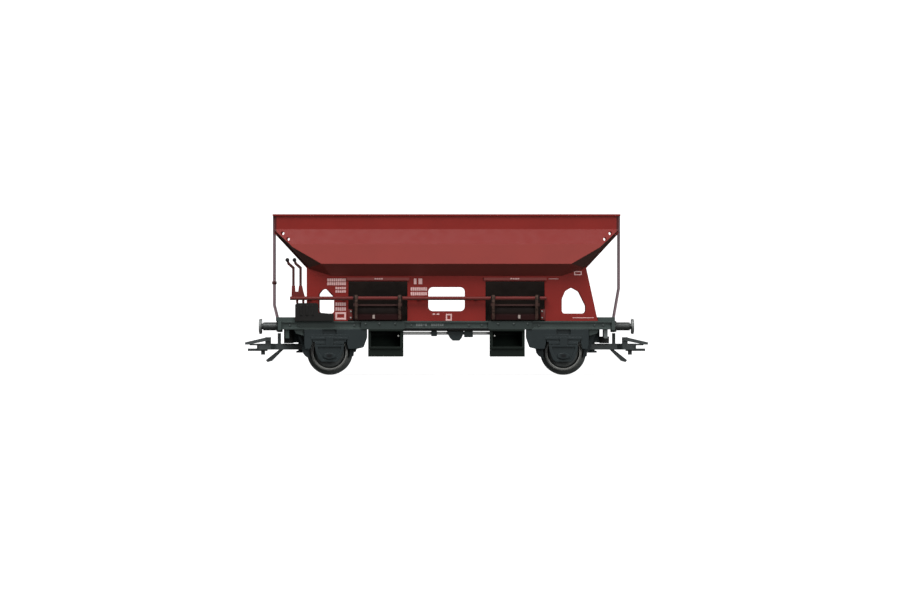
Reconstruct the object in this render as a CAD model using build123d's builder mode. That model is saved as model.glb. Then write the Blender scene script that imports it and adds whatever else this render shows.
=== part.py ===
from build123d import *
from math import hypot
import os

"""Two-axle open hopper wagon, an H0 scale model at 1:87.

Frame: X along the wagon, Y across it, Z up. The origin lies below the middle of the
wagon, at the height of the wheel flanges' lowest points. All sizes are millimetres.
The levers are at the left end, -X, and on the near side, -Y.
"""

os.makedirs("parts", exist_ok=True)

# Running gear
axle_half_base = 34.5
tread_radius = 5.5
flange_radius = 6.7
flange_width = 0.8
tyre_width = 2.9
back_to_back = 14.1
axle_radius = 1.0
journal_radius = 0.6
journal_clearance = 0.08
guard_inner_y = 11.5
guard_plate = 0.9
hanger_out = 7.4
hanger_in = 10.9

# Underframe
sill_bottom = 13.4
sill_height = 2.5
sill_width = 1.9
sill_half_width = 13.0
sill_lip = 0.5
sill_recess = 0.5
headstock_depth = 1.0
headstock_overhang = 0.6
headstock_drop = 0.8
deck_length = 5.0
deck_overhang = 0.6
deck_thickness = 1.1
cross_width = 2.2
centre_sill_width = 4.8

# Hopper: rises of its folds above the solebars, half widths at each fold, and its length
plate_rise = 13.3
soffit_rise = 3.55
belt_rise = 5.85
fold_rise = 4.35
band_rise = 4.45
end_overhang = 16.2
rim_half_width = 14.0
fold_half_width = 16.4
belt_half_width = 17.6
hopper_wall = 0.9
bead_height = 0.5
bead_depth = 0.55
end_band_height = 5.7
cut_lift = 0.7
cut_rise = 0.3
lift_hole_radius = 0.52

# Lower side plates
plate_half_width = 13.0
plate_wall = 0.9
plate_foot_gap = 0.07
window_half_length = 5.4
window_rise = 2.9
window_height = 7.1
window_radius = 1.35
door_pillar = 6.1
door_width = 17.5
door_height = 11.7
lip_height = 0.95
lip_depth = 0.7

# Load floor inside the lower plates
floor_wall = 0.8
saddle_wall = 0.9
ridge_rise = 12.6
floor_turn_rise = 3.3

# Gates and their operating rods
gate_margin = 1.55
gate_wall = 0.7
gate_height = 4.8
gate_bulge = 0.9
gate_arm_width = 1.3
rod_radius = 0.55
rod_rise = 6.7
rod_stand_off = 1.5
slide_clearance = 0.03

# Chutes below the solebars
chute_set_in = 1.3
chute_gap = 11.4
chute_height = 8.0
chute_lip_height = 2.9
chute_wall = 0.8

# Hand levers on their console at the left end
console_rise = 4.2
console_length = 6.85
stand_leg = 1.2
stand_height = 3.9
lever_rise = 7.6
lever_spacing = 2.1
lever_clearance = 1.15
lever_knob_radius = 0.6

# Corner posts, buffers and couplers
post_width = 0.5
post_inset = 2.4
buffer_half_spacing = 10.05
buffer_height = 14.3
buffer_length = 5.7
buffer_head_radius = 2.25
shank_low = 7.4
shank_thickness = 1.8
pivot_radius = 0.9
pivot_clearance = 0.06

# Heights and lengths that follow from the sizes above
wheel_height = flange_radius
sill_top = sill_bottom + sill_height
deck_top = sill_top + deck_thickness
soffit_z = sill_top + plate_rise
belt_z = soffit_z + soffit_rise
fold_z = belt_z + belt_rise
band_z = fold_z + fold_rise
rim_z = band_z + band_rise
slope_top_z = rim_z - end_band_height
rim_half_length = axle_half_base + end_overhang
headstock_x = rim_half_length - 1.0
sill_half_length = headstock_x - headstock_depth
deck_inner_x = headstock_x - deck_length
console_top = deck_top + console_rise
stand_low = console_top + stand_leg
stand_top = stand_low + stand_height
inner_half_width = plate_half_width - plate_wall
sill_inner_y = sill_half_width - sill_width
door_inner_x = window_half_length + door_pillar
door_outer_x = door_inner_x + door_width
door_x = door_inner_x + door_width / 2

# The end slopes run from the rim's end band down to the doors' outer edges
floor_turn_z = sill_top + floor_turn_rise
slope_run = (rim_half_length - door_outer_x - floor_wall) / (slope_top_z - floor_turn_z)


def slope_x(z, lift=0.0):
    """X of the end slope's outer face at height z, or of a face lift above it."""
    return rim_half_length - (slope_top_z + lift - z) * slope_run


def keep(piece, label):
    """Name a finished piece and write its file."""
    piece.part.label = label
    export_step(piece.part, f"parts/{label}.step")


def far_copy(piece, label):
    """The same piece on the wagon's far side."""
    with BuildPart() as twin:
        mirror(piece.part, about=Plane.XZ)
    keep(twin, label)


def left_copy(piece, label):
    """The same piece at the wagon's left end."""
    with BuildPart() as twin:
        mirror(piece.part, about=Plane.YZ)
    keep(twin, label)


def both_ends(piece, name):
    """One piece made at the right end, kept at both ends."""
    keep(piece, f"{name}_right")
    left_copy(piece, f"{name}_left")


def both_sides(piece, name):
    """A near piece and its far twin in one node, kept at both ends."""
    with BuildPart() as pair:
        add(piece.part)
        mirror(about=Plane.XZ)
    both_ends(pair, name)


def all_corners(piece, name):
    """One piece made at the right near corner, kept at all four corners."""
    keep(piece, f"{name}_right_near")
    far_copy(piece, f"{name}_right_far")
    left_copy(piece, f"{name}_left_near")
    with BuildPart() as twin:
        mirror(piece.part, about=Plane.YZ)
    far_copy(twin, f"{name}_left_far")


# Fold points of the hopper's right far corner. The bulged sides end in a cut that runs
# down with the end slope and rises outwards, a corner plate and a gusset to the soffit.
corner_low_z = soffit_z + 2.3
corner_low = (slope_x(corner_low_z), plate_half_width, corner_low_z)
fold_fall = 0.9
fold_y = fold_half_width + (belt_half_width - fold_half_width) * fold_fall / belt_rise
fold_lift = cut_lift + cut_rise * (fold_y - plate_half_width)
corner_fold = (slope_x(fold_z - fold_fall, fold_lift), fold_y, fold_z - fold_fall)
corner_belt = (slope_x(belt_z) - 5.6, belt_half_width, belt_z)
corner_soffit = (slope_x(soffit_z) - 5.2, plate_half_width, soffit_z)
cut_foot = (slope_x(soffit_z, cut_lift), plate_half_width, soffit_z)
cut_head = (slope_x(band_z, cut_lift), plate_half_width, band_z)
corner_facets = [
    (cut_foot, cut_head, corner_fold),
    (corner_low, corner_fold, corner_belt),
    (corner_low, corner_belt, corner_soffit),
]


def facet_plane(points, side_x, side_y, inset):
    """Plane of a corner facet in one corner, facing outwards and down."""
    a, b, c = (Vector(side_x * x, side_y * y, z) for x, y, z in points)
    normal = (b - a).cross(c - a).normalized()
    if normal.Z > 0:
        normal = -normal
    return Plane(origin=a - normal * inset, z_dir=normal)


def silhouette(inset, top, low, lift):
    """Side view of the hopper: vertical ends above, both slopes below."""
    slope_inset = inset * hypot(1, slope_run)
    end = rim_half_length - inset
    knee = slope_top_z + lift + (slope_inset - inset) / slope_run
    right = [(end, top), (end, knee), (slope_x(low, lift) - slope_inset, low)]
    return Polyline(*right, *[(-x, z) for x, z in reversed(right)], close=True)


def hopper_solid(inset=0.0, reach=0.0):
    """Solid inside the hopper's faces, moved in by inset, longer by reach at top and bottom."""
    top = rim_z + reach
    low = soffit_z - reach
    section = [
        (rim_half_width - inset, top),
        (rim_half_width - inset, band_z),
        (fold_half_width - inset, fold_z),
        (belt_half_width - inset, belt_z),
        (plate_half_width - inset, soffit_z),
    ]
    if reach:
        section.append((plate_half_width - inset, low))
    with BuildPart() as form:
        with BuildSketch(Plane.YZ):
            with BuildLine():
                Polyline(*section, *[(-y, z) for y, z in reversed(section)], close=True)
            make_face()
        extrude(amount=rim_half_length, both=True)
        with BuildSketch(Plane.XZ):
            with BuildLine():
                silhouette(inset, top, low, cut_lift)
            make_face()
        extrude(amount=belt_half_width, both=True, mode=Mode.INTERSECT)
        for side_x in (-1, 1):
            for side_y in (-1, 1):
                for points in corner_facets:
                    facet = facet_plane(points, side_x, side_y, inset)
                    split(bisect_by=facet, keep=Keep.BOTTOM)
        with BuildSketch(Plane.XZ):
            with BuildLine():
                silhouette(inset, top, low, 0)
            make_face()
        extrude(amount=plate_half_width - inset, both=True)
    return form.part


# Hopper: a faceted shell with a rim bead, open above and between the lower plates
lift_holes = [(2.4, band_z - 1.2), (4.0, band_z - 2.9)]  # distance from the end, height
hopper_outside = hopper_solid()
with BuildPart() as hopper:
    add(hopper_outside)
    with BuildSketch(Plane.XY.offset(rim_z - bead_height)):
        Rectangle(2 * (rim_half_length + bead_depth), 2 * (rim_half_width + bead_depth))
    extrude(amount=bead_height)
    add(hopper_solid(hopper_wall, 2), mode=Mode.SUBTRACT)
    for from_end, z in lift_holes:
        x = rim_half_length - from_end
        with Locations((x, 0, z), (-x, 0, z)):
            Cylinder(lift_hole_radius, 3 * belt_half_width, rotation=(90, 0, 0), mode=Mode.SUBTRACT)
keep(hopper, "hopper")

# Lower side plates, seated under the hopper's soffit. The left end stops short for the
# platform, the right end slants out to its foot.
plate_end_x = corner_low[0]
foot_x = deck_inner_x - plate_foot_gap
hole_low = sill_top + 2.2
hole_radius = 0.9
end_bay_length = plate_end_x - door_outer_x
right_hole = [  # share of the end bay from its upper end, height above the hole's sill
    (0.59, 0), (0.01, 0), (0.01, 2.3), (0.18, 6.5), (0.36, 7.7), (0.51, 6.6), (0.59, 4.3),
]
left_hole = [(0.66, 0), (0.29, 0), (0.29, 5.7), (0.38, 7.1), (0.49, 7.3), (0.66, 5.2)]
with BuildPart() as side_plate:
    with BuildSketch(Plane.XZ.offset(inner_half_width)):
        with BuildLine():
            Polyline((-plate_end_x, sill_top), (foot_x, sill_top), (plate_end_x, corner_low_z),
                     (-plate_end_x, corner_low_z), close=True)
        make_face()
        with Locations((0, sill_top + window_rise + window_height / 2)):
            RectangleRounded(2 * window_half_length, window_height, window_radius, mode=Mode.SUBTRACT)
        with Locations((door_x, sill_top), (-door_x, sill_top)):
            Rectangle(door_width, door_height, align=(Align.CENTER, Align.MIN), mode=Mode.SUBTRACT)
    extrude(amount=plate_wall)
    for side, outline in ((1, right_hole), (-1, left_hole)):
        with BuildSketch(Plane.XZ.offset(inner_half_width)) as end_hole:
            with BuildLine():
                Polyline(*[(side * (plate_end_x - share * end_bay_length), hole_low + rise)
                           for share, rise in outline], close=True)
            make_face()
            fillet(end_hole.vertices(), hole_radius)
        extrude(amount=plate_wall, mode=Mode.SUBTRACT)
    with Locations((door_x, -plate_half_width, sill_top + door_height + 0.25),
                   (-door_x, -plate_half_width, sill_top + door_height + 0.25)):
        Box(door_width + 1.0, lip_depth, lip_height, align=(Align.CENTER, Align.MAX, Align.MIN))
    add(hopper_outside, mode=Mode.SUBTRACT)
keep(side_plate, "side_plate_near")
far_copy(side_plate, "side_plate_far")

# Load floor: end floors that carry the end slopes down to the doors and turn vertical
slope_wall = floor_wall * hypot(1, slope_run)
turn_z = floor_turn_z
inner_turn_z = slope_top_z - (rim_half_length - door_outer_x - slope_wall) / slope_run
with BuildPart() as end_floor:
    with BuildSketch(Plane.XZ):
        with BuildLine():
            Polyline(
                (slope_x(soffit_z), soffit_z),
                (slope_x(soffit_z) - slope_wall, soffit_z),
                (door_outer_x, inner_turn_z),
                (door_outer_x, sill_top),
                (door_outer_x + floor_wall, sill_top),
                (door_outer_x + floor_wall, turn_z),
                close=True,
            )
        make_face()
    extrude(amount=inner_half_width, both=True)
both_ends(end_floor, "end_floor")

# A transverse saddle over the middle window keeps the two bays apart
saddle_foot = (door_inner_x - 0.3, sill_top)
saddle_shoulder = (window_half_length + 1.5, sill_top + 11.0)
saddle_peak = (0, sill_top + 14.5)
with BuildPart() as saddle:
    with BuildSketch(Plane.XZ):
        with BuildLine():
            Polyline(saddle_foot, saddle_shoulder, saddle_peak, (-saddle_shoulder[0], saddle_shoulder[1]),
                     (-saddle_foot[0], saddle_foot[1]), close=True)
        make_face()
        with BuildLine():
            under_x, under_z = saddle_shoulder[0] - saddle_wall, saddle_shoulder[1] - 0.6
            Polyline((saddle_foot[0] - saddle_wall, sill_top), (under_x, under_z),
                     (0, saddle_peak[1] - saddle_wall - 0.1), (-under_x, under_z),
                     (saddle_wall - saddle_foot[0], sill_top), close=True)
        make_face(mode=Mode.SUBTRACT)
    extrude(amount=inner_half_width, both=True)
keep(saddle, "middle_saddle")

# Ridges along the wagon turn the load out to both sides
ridge_slope = ridge_rise / inner_half_width
ridge_under = floor_wall * hypot(1, ridge_slope)
with BuildPart() as ridge:
    with BuildSketch(Plane.YZ):
        with BuildLine():
            foot_y = inner_half_width - ridge_under / ridge_slope
            apex_z = sill_top + ridge_rise
            Polyline((-inner_half_width, sill_top), (0, apex_z), (inner_half_width, sill_top),
                     (foot_y, sill_top), (0, apex_z - ridge_under), (-foot_y, sill_top), close=True)
        make_face()
    extrude(amount=door_outer_x)
    with BuildSketch(Plane.XZ):
        with BuildLine():
            Polyline(saddle_foot, saddle_shoulder, (saddle_shoulder[0], soffit_z),
                     (slope_x(soffit_z) - slope_wall, soffit_z), (door_outer_x, inner_turn_z),
                     (door_outer_x, sill_top), close=True)
        make_face()
    extrude(amount=inner_half_width, both=True, mode=Mode.INTERSECT)
both_ends(ridge, "ridge")

# Gates: curved flaps with three ribs, and end arms that hang on the operating rod
rod_y = -(plate_half_width + rod_stand_off)
rod_z = sill_top + rod_rise
gate_low = sill_top + 0.2
gate_top = gate_low + gate_height
gate_y = 0.2 - plate_half_width
gate_ribs = [(0.9, 1.5), (gate_height - 0.3, 0.6)]  # rise, height
gate_lug = 0.7
gate_lug_shift = 1.2
gate_half_length = door_width / 2 - gate_margin
with BuildPart() as gate:
    with BuildSketch(Plane.YZ.offset(door_x - gate_half_length)):
        with BuildLine():
            middle_y = gate_y - gate_bulge
            middle_z = gate_low + gate_height / 2
            ThreePointArc((gate_y, gate_low), (middle_y, middle_z), (gate_y, gate_top))
            Polyline((gate_y, gate_top), (gate_y + gate_wall, gate_top), (middle_y + gate_wall, middle_z),
                     (gate_y + gate_wall, gate_low), (gate_y, gate_low))
        make_face()
        for rise, height in gate_ribs:
            with Locations((gate_y - 0.4, gate_low + rise)):
                Rectangle(1.5, height)
    extrude(amount=2 * gate_half_length)
    for side in (-1, 1):
        arm_x = door_x + side * (gate_half_length - gate_arm_width / 2)
        with BuildSketch(Plane.YZ.offset(arm_x - gate_arm_width / 2)):
            with BuildLine():
                eye = rod_radius + 0.45
                Polyline((gate_y + 0.4, gate_low), (gate_y - 1.3, gate_low + 0.4), (rod_y - eye, rod_z - eye),
                         (rod_y - eye, rod_z + eye / 2), (rod_y - eye / 2, rod_z + eye),
                         (rod_y + eye, rod_z + eye / 2), (gate_y + 0.4, gate_top), close=True)
            make_face()
        extrude(amount=gate_arm_width)
    with Locations((door_x + gate_lug_shift, gate_y - 0.3, gate_low + 1.3)):
        Box(gate_lug, 1.9, 1.6)
    with Locations((door_x, rod_y, rod_z)):
        Cylinder(rod_radius + slide_clearance, 2 * door_width, rotation=(0, 90, 0), mode=Mode.SUBTRACT)
all_corners(gate, "gate")

# The hand levers stand where their knobs clear the end slope, with the console below them
console_out_x = slope_x(stand_top + lever_rise) + lever_clearance
outer_lever_x = -console_out_x - 0.5
inner_lever_x = outer_lever_x + lever_spacing
stand_right_x = inner_lever_x + 1.5

# Operating rods with their brackets on the side plates, the first one beside the lever stand
rod_left_x = -(plate_end_x + 4.9)
rod_right_x = door_outer_x + 0.5
first_bracket_x = max(0.7 - plate_end_x, stand_right_x + 0.97)
bracket_x = [first_bracket_x, -(door_outer_x + 1.5), -8.4, 8.4, door_outer_x + 0.1]
with BuildPart() as rod:
    with BuildSketch(Plane.YZ.offset(rod_left_x)):
        with Locations((rod_y, rod_z)):
            Circle(rod_radius)
    extrude(amount=rod_right_x - rod_left_x)
    for x in bracket_x:
        with Locations((x, -plate_half_width, rod_z)):
            Box(0.7, rod_stand_off, 0.9, align=(Align.CENTER, Align.MAX, Align.CENTER))
keep(rod, "operating_rod_near")
far_copy(rod, "operating_rod_far")

# Corner posts: up the hopper's ends to the rim bead, bent in at the foot to the deck
post_y = rim_half_width - post_inset
post_bend = {1: sill_top + 9.7, -1: sill_top + 4.7}
post_foot = {1: headstock_x, -1: headstock_x + deck_overhang}
post_out_x = rim_half_length + post_width
bead_low_z = rim_z - bead_height
for side, end in ((1, "right"), (-1, "left")):
    with BuildPart() as posts:
        with BuildSketch(Plane.XZ.offset(post_y)):
            with BuildLine():
                Polyline(*[(side * x, z) for x, z in (
                    (rim_half_length, bead_low_z), (post_out_x, bead_low_z), (post_out_x, post_bend[side]),
                    (post_foot[side], deck_top), (post_foot[side] - post_width, deck_top),
                    (rim_half_length, post_bend[side]),
                )], close=True)
            make_face()
        extrude(amount=post_width)
        mirror(about=Plane.XZ)
    keep(posts, f"corner_posts_{end}")

# End decks with grating slots, on the solebars
for side, end in ((1, "right"), (-1, "left")):
    reach = deck_length + (deck_overhang if side < 0 else 0)
    with BuildPart() as deck:
        with Locations((side * (deck_inner_x + reach / 2), 0, sill_top)):
            Box(reach, 2 * sill_half_width, deck_thickness, align=(Align.CENTER, Align.CENTER, Align.MIN))
        with Locations((side * (deck_inner_x + reach / 2), 0, deck_top)):
            with GridLocations(0, 2.0, 1, 11):
                Box(reach - 1.8, 0.9, 2 * deck_thickness, mode=Mode.SUBTRACT)
    keep(deck, f"end_deck_{end}")

# Solebars: channels open to the outside
with BuildPart() as sill:
    with BuildSketch(Plane.YZ.offset(-sill_half_length)):
        with Locations((-sill_half_width, sill_bottom)):
            Rectangle(sill_width, sill_height, align=(Align.MIN, Align.MIN))
        with Locations((-sill_half_width, sill_bottom + sill_lip)):
            Rectangle(sill_recess, sill_height - 2 * sill_lip, align=(Align.MIN, Align.MIN),
                      mode=Mode.SUBTRACT)
    extrude(amount=2 * sill_half_length)
keep(sill, "solebar_near")
far_copy(sill, "solebar_far")

# Inner frame: a centre sill, and cross members at the chutes' edges and the ends
chute_outer_x = axle_half_base - chute_gap
chute_inner_x = door_inner_x + chute_set_in
chute_length = chute_outer_x - chute_inner_x
cross_x = [chute_inner_x - 0.6, chute_outer_x + 1.5, deck_inner_x - 0.1]
centre_half_width = centre_sill_width / 2
with BuildPart() as centre_sill:
    with Locations((0, 0, sill_bottom)):
        Box(2 * sill_half_length, centre_sill_width, sill_height,
            align=(Align.CENTER, Align.CENTER, Align.MIN))
keep(centre_sill, "centre_sill")
with BuildPart() as cross:
    for x in cross_x:
        with Locations((x, centre_half_width, sill_bottom), (-x, centre_half_width, sill_bottom)):
            Box(cross_width, sill_inner_y - centre_half_width, sill_height,
                align=(Align.CENTER, Align.MIN, Align.MIN))
    mirror(about=Plane.XZ)
keep(cross, "cross_members")

# Headstocks under the deck ends, their lower corners cut away
headstock_half_width = sill_half_width + headstock_overhang
headstock_low = sill_bottom - headstock_drop
with BuildPart() as headstock:
    with BuildSketch(Plane.YZ.offset(sill_half_length)):
        with BuildLine():
            half = [(headstock_half_width, sill_top), (headstock_half_width, sill_bottom - 0.2),
                    (headstock_half_width - 2.2, headstock_low)]
            Polyline(*half, *[(-y, z) for y, z in reversed(half)], close=True)
        make_face()
    extrude(amount=headstock_depth)
both_ends(headstock, "headstock")

# End brackets: gusset and step plate under each solebar end
end_bay = sill_half_length - axle_half_base - hanger_out
bracket_outlines = [  # share of the bay between headstock and axle guard, drop below the solebar
    [(0.98, 0), (0.98, 1.9), (0.62, 1.1), (0.55, 0)],
    [(0.34, 0), (0.34, 2.6), (0.17, 2.6), (0.17, 0)],
]
with BuildPart() as end_bracket:
    with BuildSketch(Plane.XZ.offset(sill_half_width - sill_width)):
        for outline in bracket_outlines:
            with BuildLine():
                Polyline(*[(sill_half_length - run * end_bay, sill_bottom - drop) for run, drop in outline],
                         close=True)
            make_face()
    extrude(amount=1.0)
both_sides(end_bracket, "end_brackets")

# Buffers: base plate, sleeve, plunger and slightly domed head, one revolved profile
buffer_face_x = headstock_x + buffer_length
sleeve_x = buffer_face_x - 1.3
plate_radius = sill_top - buffer_height
buffer_profile = [  # x along the buffer, radius
    (headstock_x, 0), (headstock_x, plate_radius), (headstock_x + 0.45, plate_radius),
    (headstock_x + 0.45, 1.2),
    (sleeve_x, 1.2), (sleeve_x, 0.85), (buffer_face_x - 0.65, 0.85),
    (buffer_face_x - 0.65, buffer_head_radius), (buffer_face_x - 0.2, buffer_head_radius),
    (buffer_face_x, buffer_head_radius - 0.7), (buffer_face_x, 0),
]
with BuildPart() as buffer_right:
    with BuildSketch(Plane.XZ.offset(buffer_half_spacing)):
        with BuildLine():
            Polyline(*[(x, buffer_height + r) for x, r in buffer_profile], close=True)
        make_face()
    revolve(axis=Axis((0, -buffer_half_spacing, buffer_height), (1, 0, 0)))
both_sides(buffer_right, "buffers")

# Chutes below the solebars: open-mouthed troughs with a sloped floor, cheeks and an apron
# over the solebar
chute_low = sill_bottom - chute_height
chute_lip = chute_low + chute_lip_height
chute_back_y = 4.0
chute_toe = 1.6
chute_apron = 0.45
back_z = chute_low + 5.8
with BuildPart() as chute:
    with BuildSketch(Plane.YZ.offset(chute_inner_x)):
        with BuildLine():
            Polyline((-chute_back_y, sill_bottom), (-sill_half_width, sill_bottom),
                     (-sill_half_width, chute_low), (chute_toe - sill_half_width, chute_low),
                     (-chute_back_y, back_z), close=True)
        make_face()
    extrude(amount=chute_length)
    with BuildSketch(Plane.YZ.offset(chute_inner_x + chute_wall)):
        with BuildLine():
            Polyline((-chute_back_y - chute_wall, sill_bottom), (-sill_half_width, sill_bottom),
                     (-sill_half_width, chute_lip), (chute_wall - sill_half_width, chute_lip),
                     (chute_wall - sill_half_width, chute_low + chute_wall),
                     (chute_toe - sill_half_width, chute_low + chute_wall),
                     (-chute_back_y - chute_wall, back_z + 0.5), close=True)
        make_face()
    extrude(amount=chute_length - 2 * chute_wall, mode=Mode.SUBTRACT)
    with Locations((chute_inner_x + chute_length / 2, -sill_half_width, chute_lip - 0.25)):
        Box(chute_length - 1.0, 0.5, 0.6, align=(Align.CENTER, Align.MAX, Align.CENTER))
    with BuildSketch(Plane.XZ.offset(sill_half_width)):
        with BuildLine():
            Polyline(*[(x, sill_bottom + rise) for x, rise in (
                (chute_inner_x, -0.5), (chute_outer_x, -0.5), (chute_outer_x, 0), (chute_outer_x + 2.1, 0),
                (chute_outer_x + 2.1, sill_height), (chute_inner_x - 0.5, sill_height),
                (chute_inner_x - 0.5, 0), (chute_inner_x, 0),
            )], close=True)
        make_face()
    extrude(amount=chute_apron)
all_corners(chute, "chute")

# Wheelsets: an axle with stub journals and two pressed wheels with flanged treads
wheel_inner = back_to_back / 2
wheel_outer = wheel_inner + tyre_width
hub_radius = 1.9
web_recess = 0.8
wheel_profile = [  # radius, distance inward from the tyre's outer face
    (axle_radius, 0), (hub_radius, 0), (hub_radius + 0.3, web_recess), (4.3, web_recess), (4.75, 0),
    (tread_radius - 0.1, 0), (tread_radius + 0.05, tyre_width - flange_width),
    (flange_radius, tyre_width - flange_width + 0.35), (flange_radius, tyre_width - 0.15),
    (flange_radius - 0.25, tyre_width), (axle_radius, tyre_width),
]
shoulder_y = wheel_outer + 0.9
journal_end_y = guard_inner_y + guard_plate
with BuildPart() as axle:
    Cylinder(axle_radius, 2 * shoulder_y, rotation=(90, 0, 0))
    Cylinder(journal_radius, 2 * journal_end_y, rotation=(90, 0, 0))
with BuildPart() as wheel:
    with BuildSketch(Plane.XY):
        with BuildLine():
            Polyline(*[(r, inward - wheel_outer) for r, inward in wheel_profile], close=True)
        make_face()
    revolve(axis=Axis.Y)
with BuildPart() as far_wheel:
    mirror(wheel.part, about=Plane.XZ)
for side, end in ((1, "right"), (-1, "left")):
    for piece, name in ((axle, "axle"), (wheel, "wheel_near"), (far_wheel, "wheel_far")):
        with BuildPart() as set_in_place:
            with Locations((side * axle_half_base, 0, wheel_height)):
                add(piece.part)
        keep(set_in_place, f"{name}_{end}")

# Axle guards: guard plate, axlebox with a sunk front and a cap, leaf spring, buckle, spring
# pads and cheeks. The inner cheek is the wider one.
box_low = wheel_height - 2.8
box_top = wheel_height + 2.2
box_outline = [(2.3, box_low), (3.2, box_low + 0.9), (4.1, box_top - 1.8), (4.3, box_top)]
box_depth = 1.4
box_frame = 0.6
leaf_thickness = 0.72
leaf_half_lengths = [4.3, 4.9, 5.4, 5.8]  # from the lowest leaf up
spring_low = box_top + 0.1
spring_depth = 1.0
pad_low = spring_low + len(leaf_half_lengths) * leaf_thickness
box_y = guard_inner_y + guard_plate
cheek_outlines = {  # distance from the axle, height above it
    1: [(hanger_out, 2.5), (hanger_out - 0.3, 1.0), (5.6, 1.0), (5.2, 2.7)],
    -1: [(hanger_in, 4.2), (hanger_in - 1.0, 1.4), (hanger_in - 2.6, 1.0), (5.6, 1.0), (5.2, 2.7)],
}
with BuildPart() as guard:
    with BuildSketch(Plane.XZ.offset(guard_inner_y)):
        with BuildLine():
            right = [(2.2, box_low + 0.2), (3.6, box_top), (5.6, 11.4), (5.6, sill_bottom)]
            Polyline(*right, *[(-x, z) for x, z in reversed(right)], close=True)
        make_face()
    extrude(amount=guard_plate)
    with BuildSketch(Plane.XZ.offset(box_y)):
        with BuildLine():
            Polyline(*box_outline, *[(-x, z) for x, z in reversed(box_outline)], close=True)
        make_face()
    extrude(amount=box_depth)
    with BuildSketch(Plane.XZ.offset(box_y + box_depth - 0.4)):
        with BuildLine():
            Polyline((2.0, box_low + box_frame), (3.2, box_top - 2.0), (3.5, box_top - box_frame),
                     (-3.5, box_top - box_frame), (-3.2, box_top - 2.0),
                     (-2.0, box_low + box_frame), close=True)
        make_face()
    extrude(amount=0.4, mode=Mode.SUBTRACT)
    with BuildSketch(Plane.XZ.offset(box_y + box_depth - 0.4)):
        with Locations((0, wheel_height - 1.1)):
            Ellipse(1.7, 0.85)
    extrude(amount=0.8)
    for level, half_length in enumerate(leaf_half_lengths):
        with Locations((0, -box_y, spring_low + level * leaf_thickness)):
            Box(2 * half_length, spring_depth - 0.18 * (level % 2), leaf_thickness,
                align=(Align.CENTER, Align.MAX, Align.MIN))
    with Locations((0, -box_y, spring_low - 0.4)):
        Box(2.2, spring_depth + 0.4, 2.6, align=(Align.CENTER, Align.MAX, Align.MIN))
    for pad_x in (-3.8, 3.8):
        with Locations((pad_x, -guard_inner_y, pad_low)):
            Box(3.4, guard_plate + 0.8, sill_bottom - pad_low, align=(Align.CENTER, Align.MAX, Align.MIN))
    for side, outline in cheek_outlines.items():
        with BuildSketch(Plane.XZ.offset(guard_inner_y)):
            with BuildLine():
                Polyline((side * outline[-1][0], sill_bottom), (side * outline[0][0], sill_bottom),
                         *[(side * x, wheel_height + rise) for x, rise in outline], close=True)
            make_face()
        extrude(amount=guard_plate + spring_depth - 0.2)
    with Locations((0, -guard_inner_y, wheel_height)):
        Cylinder(journal_radius + journal_clearance, 2 * guard_plate, rotation=(90, 0, 0), mode=Mode.SUBTRACT)
with BuildPart() as guard_right:
    with Locations((axle_half_base, 0, 0)):
        add(guard.part)
all_corners(guard_right, "axle_guard")

# Brake shoes on hangers, level with the axle on both sides of each wheel
shoe_gap = 0.45
shoe_thickness = 1.1
shoe_width = 1.6
shoe_y = wheel_inner + flange_width + 0.3
shoe_in = tread_radius + shoe_gap
shoe_out = shoe_in + shoe_thickness
shoe_backs = {  # distance outside the shoe's working face, height above the axle
    1: [(0.7, 2.2), (shoe_thickness, 0.2), (0.95, -1.2), (-0.5, -1.7)],
    -1: [(1.2, 2.4), (2.2, 1.0), (1.9, -0.3), (1.2, -1.2), (-0.5, -2.2)],
}
with BuildPart() as shoes:
    for side, outline in shoe_backs.items():
        with BuildSketch(Plane.XZ.offset(shoe_y)):
            with BuildLine():
                Polyline((side * (shoe_in - 1.0), wheel_height + 2.4),
                         *[(side * (shoe_in + run), wheel_height + rise) for run, rise in outline],
                         close=True)
            make_face()
            with Locations((0, wheel_height)):
                Circle(shoe_in, mode=Mode.SUBTRACT)
        extrude(amount=shoe_width)
        with BuildSketch(Plane.XZ.offset(shoe_y + 0.4)):
            with BuildLine():
                Polyline(*[(side * (shoe_out + run), z) for run, z in (
                    (-0.5, wheel_height), (0.5, wheel_height), (2.9, sill_bottom), (1.9, sill_bottom),
                )], close=True)
            make_face()
        extrude(amount=shoe_width - 0.8)
    mirror(about=Plane.XZ)
for side, end in ((1, "right"), (-1, "left")):
    with BuildPart() as shoes_in_place:
        with Locations((side * axle_half_base, 0, 0)):
            add(shoes.part)
    keep(shoes_in_place, f"brake_shoes_{end}")

# Brake rod between the chutes, a flat bar, with its hangers and the lever housing
bar_height = 0.9
bar_depth = 0.8
bar_z = sill_bottom - 1.1
bar_y = 2.6 - sill_half_width
with BuildPart() as brake_rod:
    with Locations((0, bar_y, bar_z)):
        Box(2 * chute_inner_x, bar_depth, bar_height)
keep(brake_rod, "brake_rod")

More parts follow.
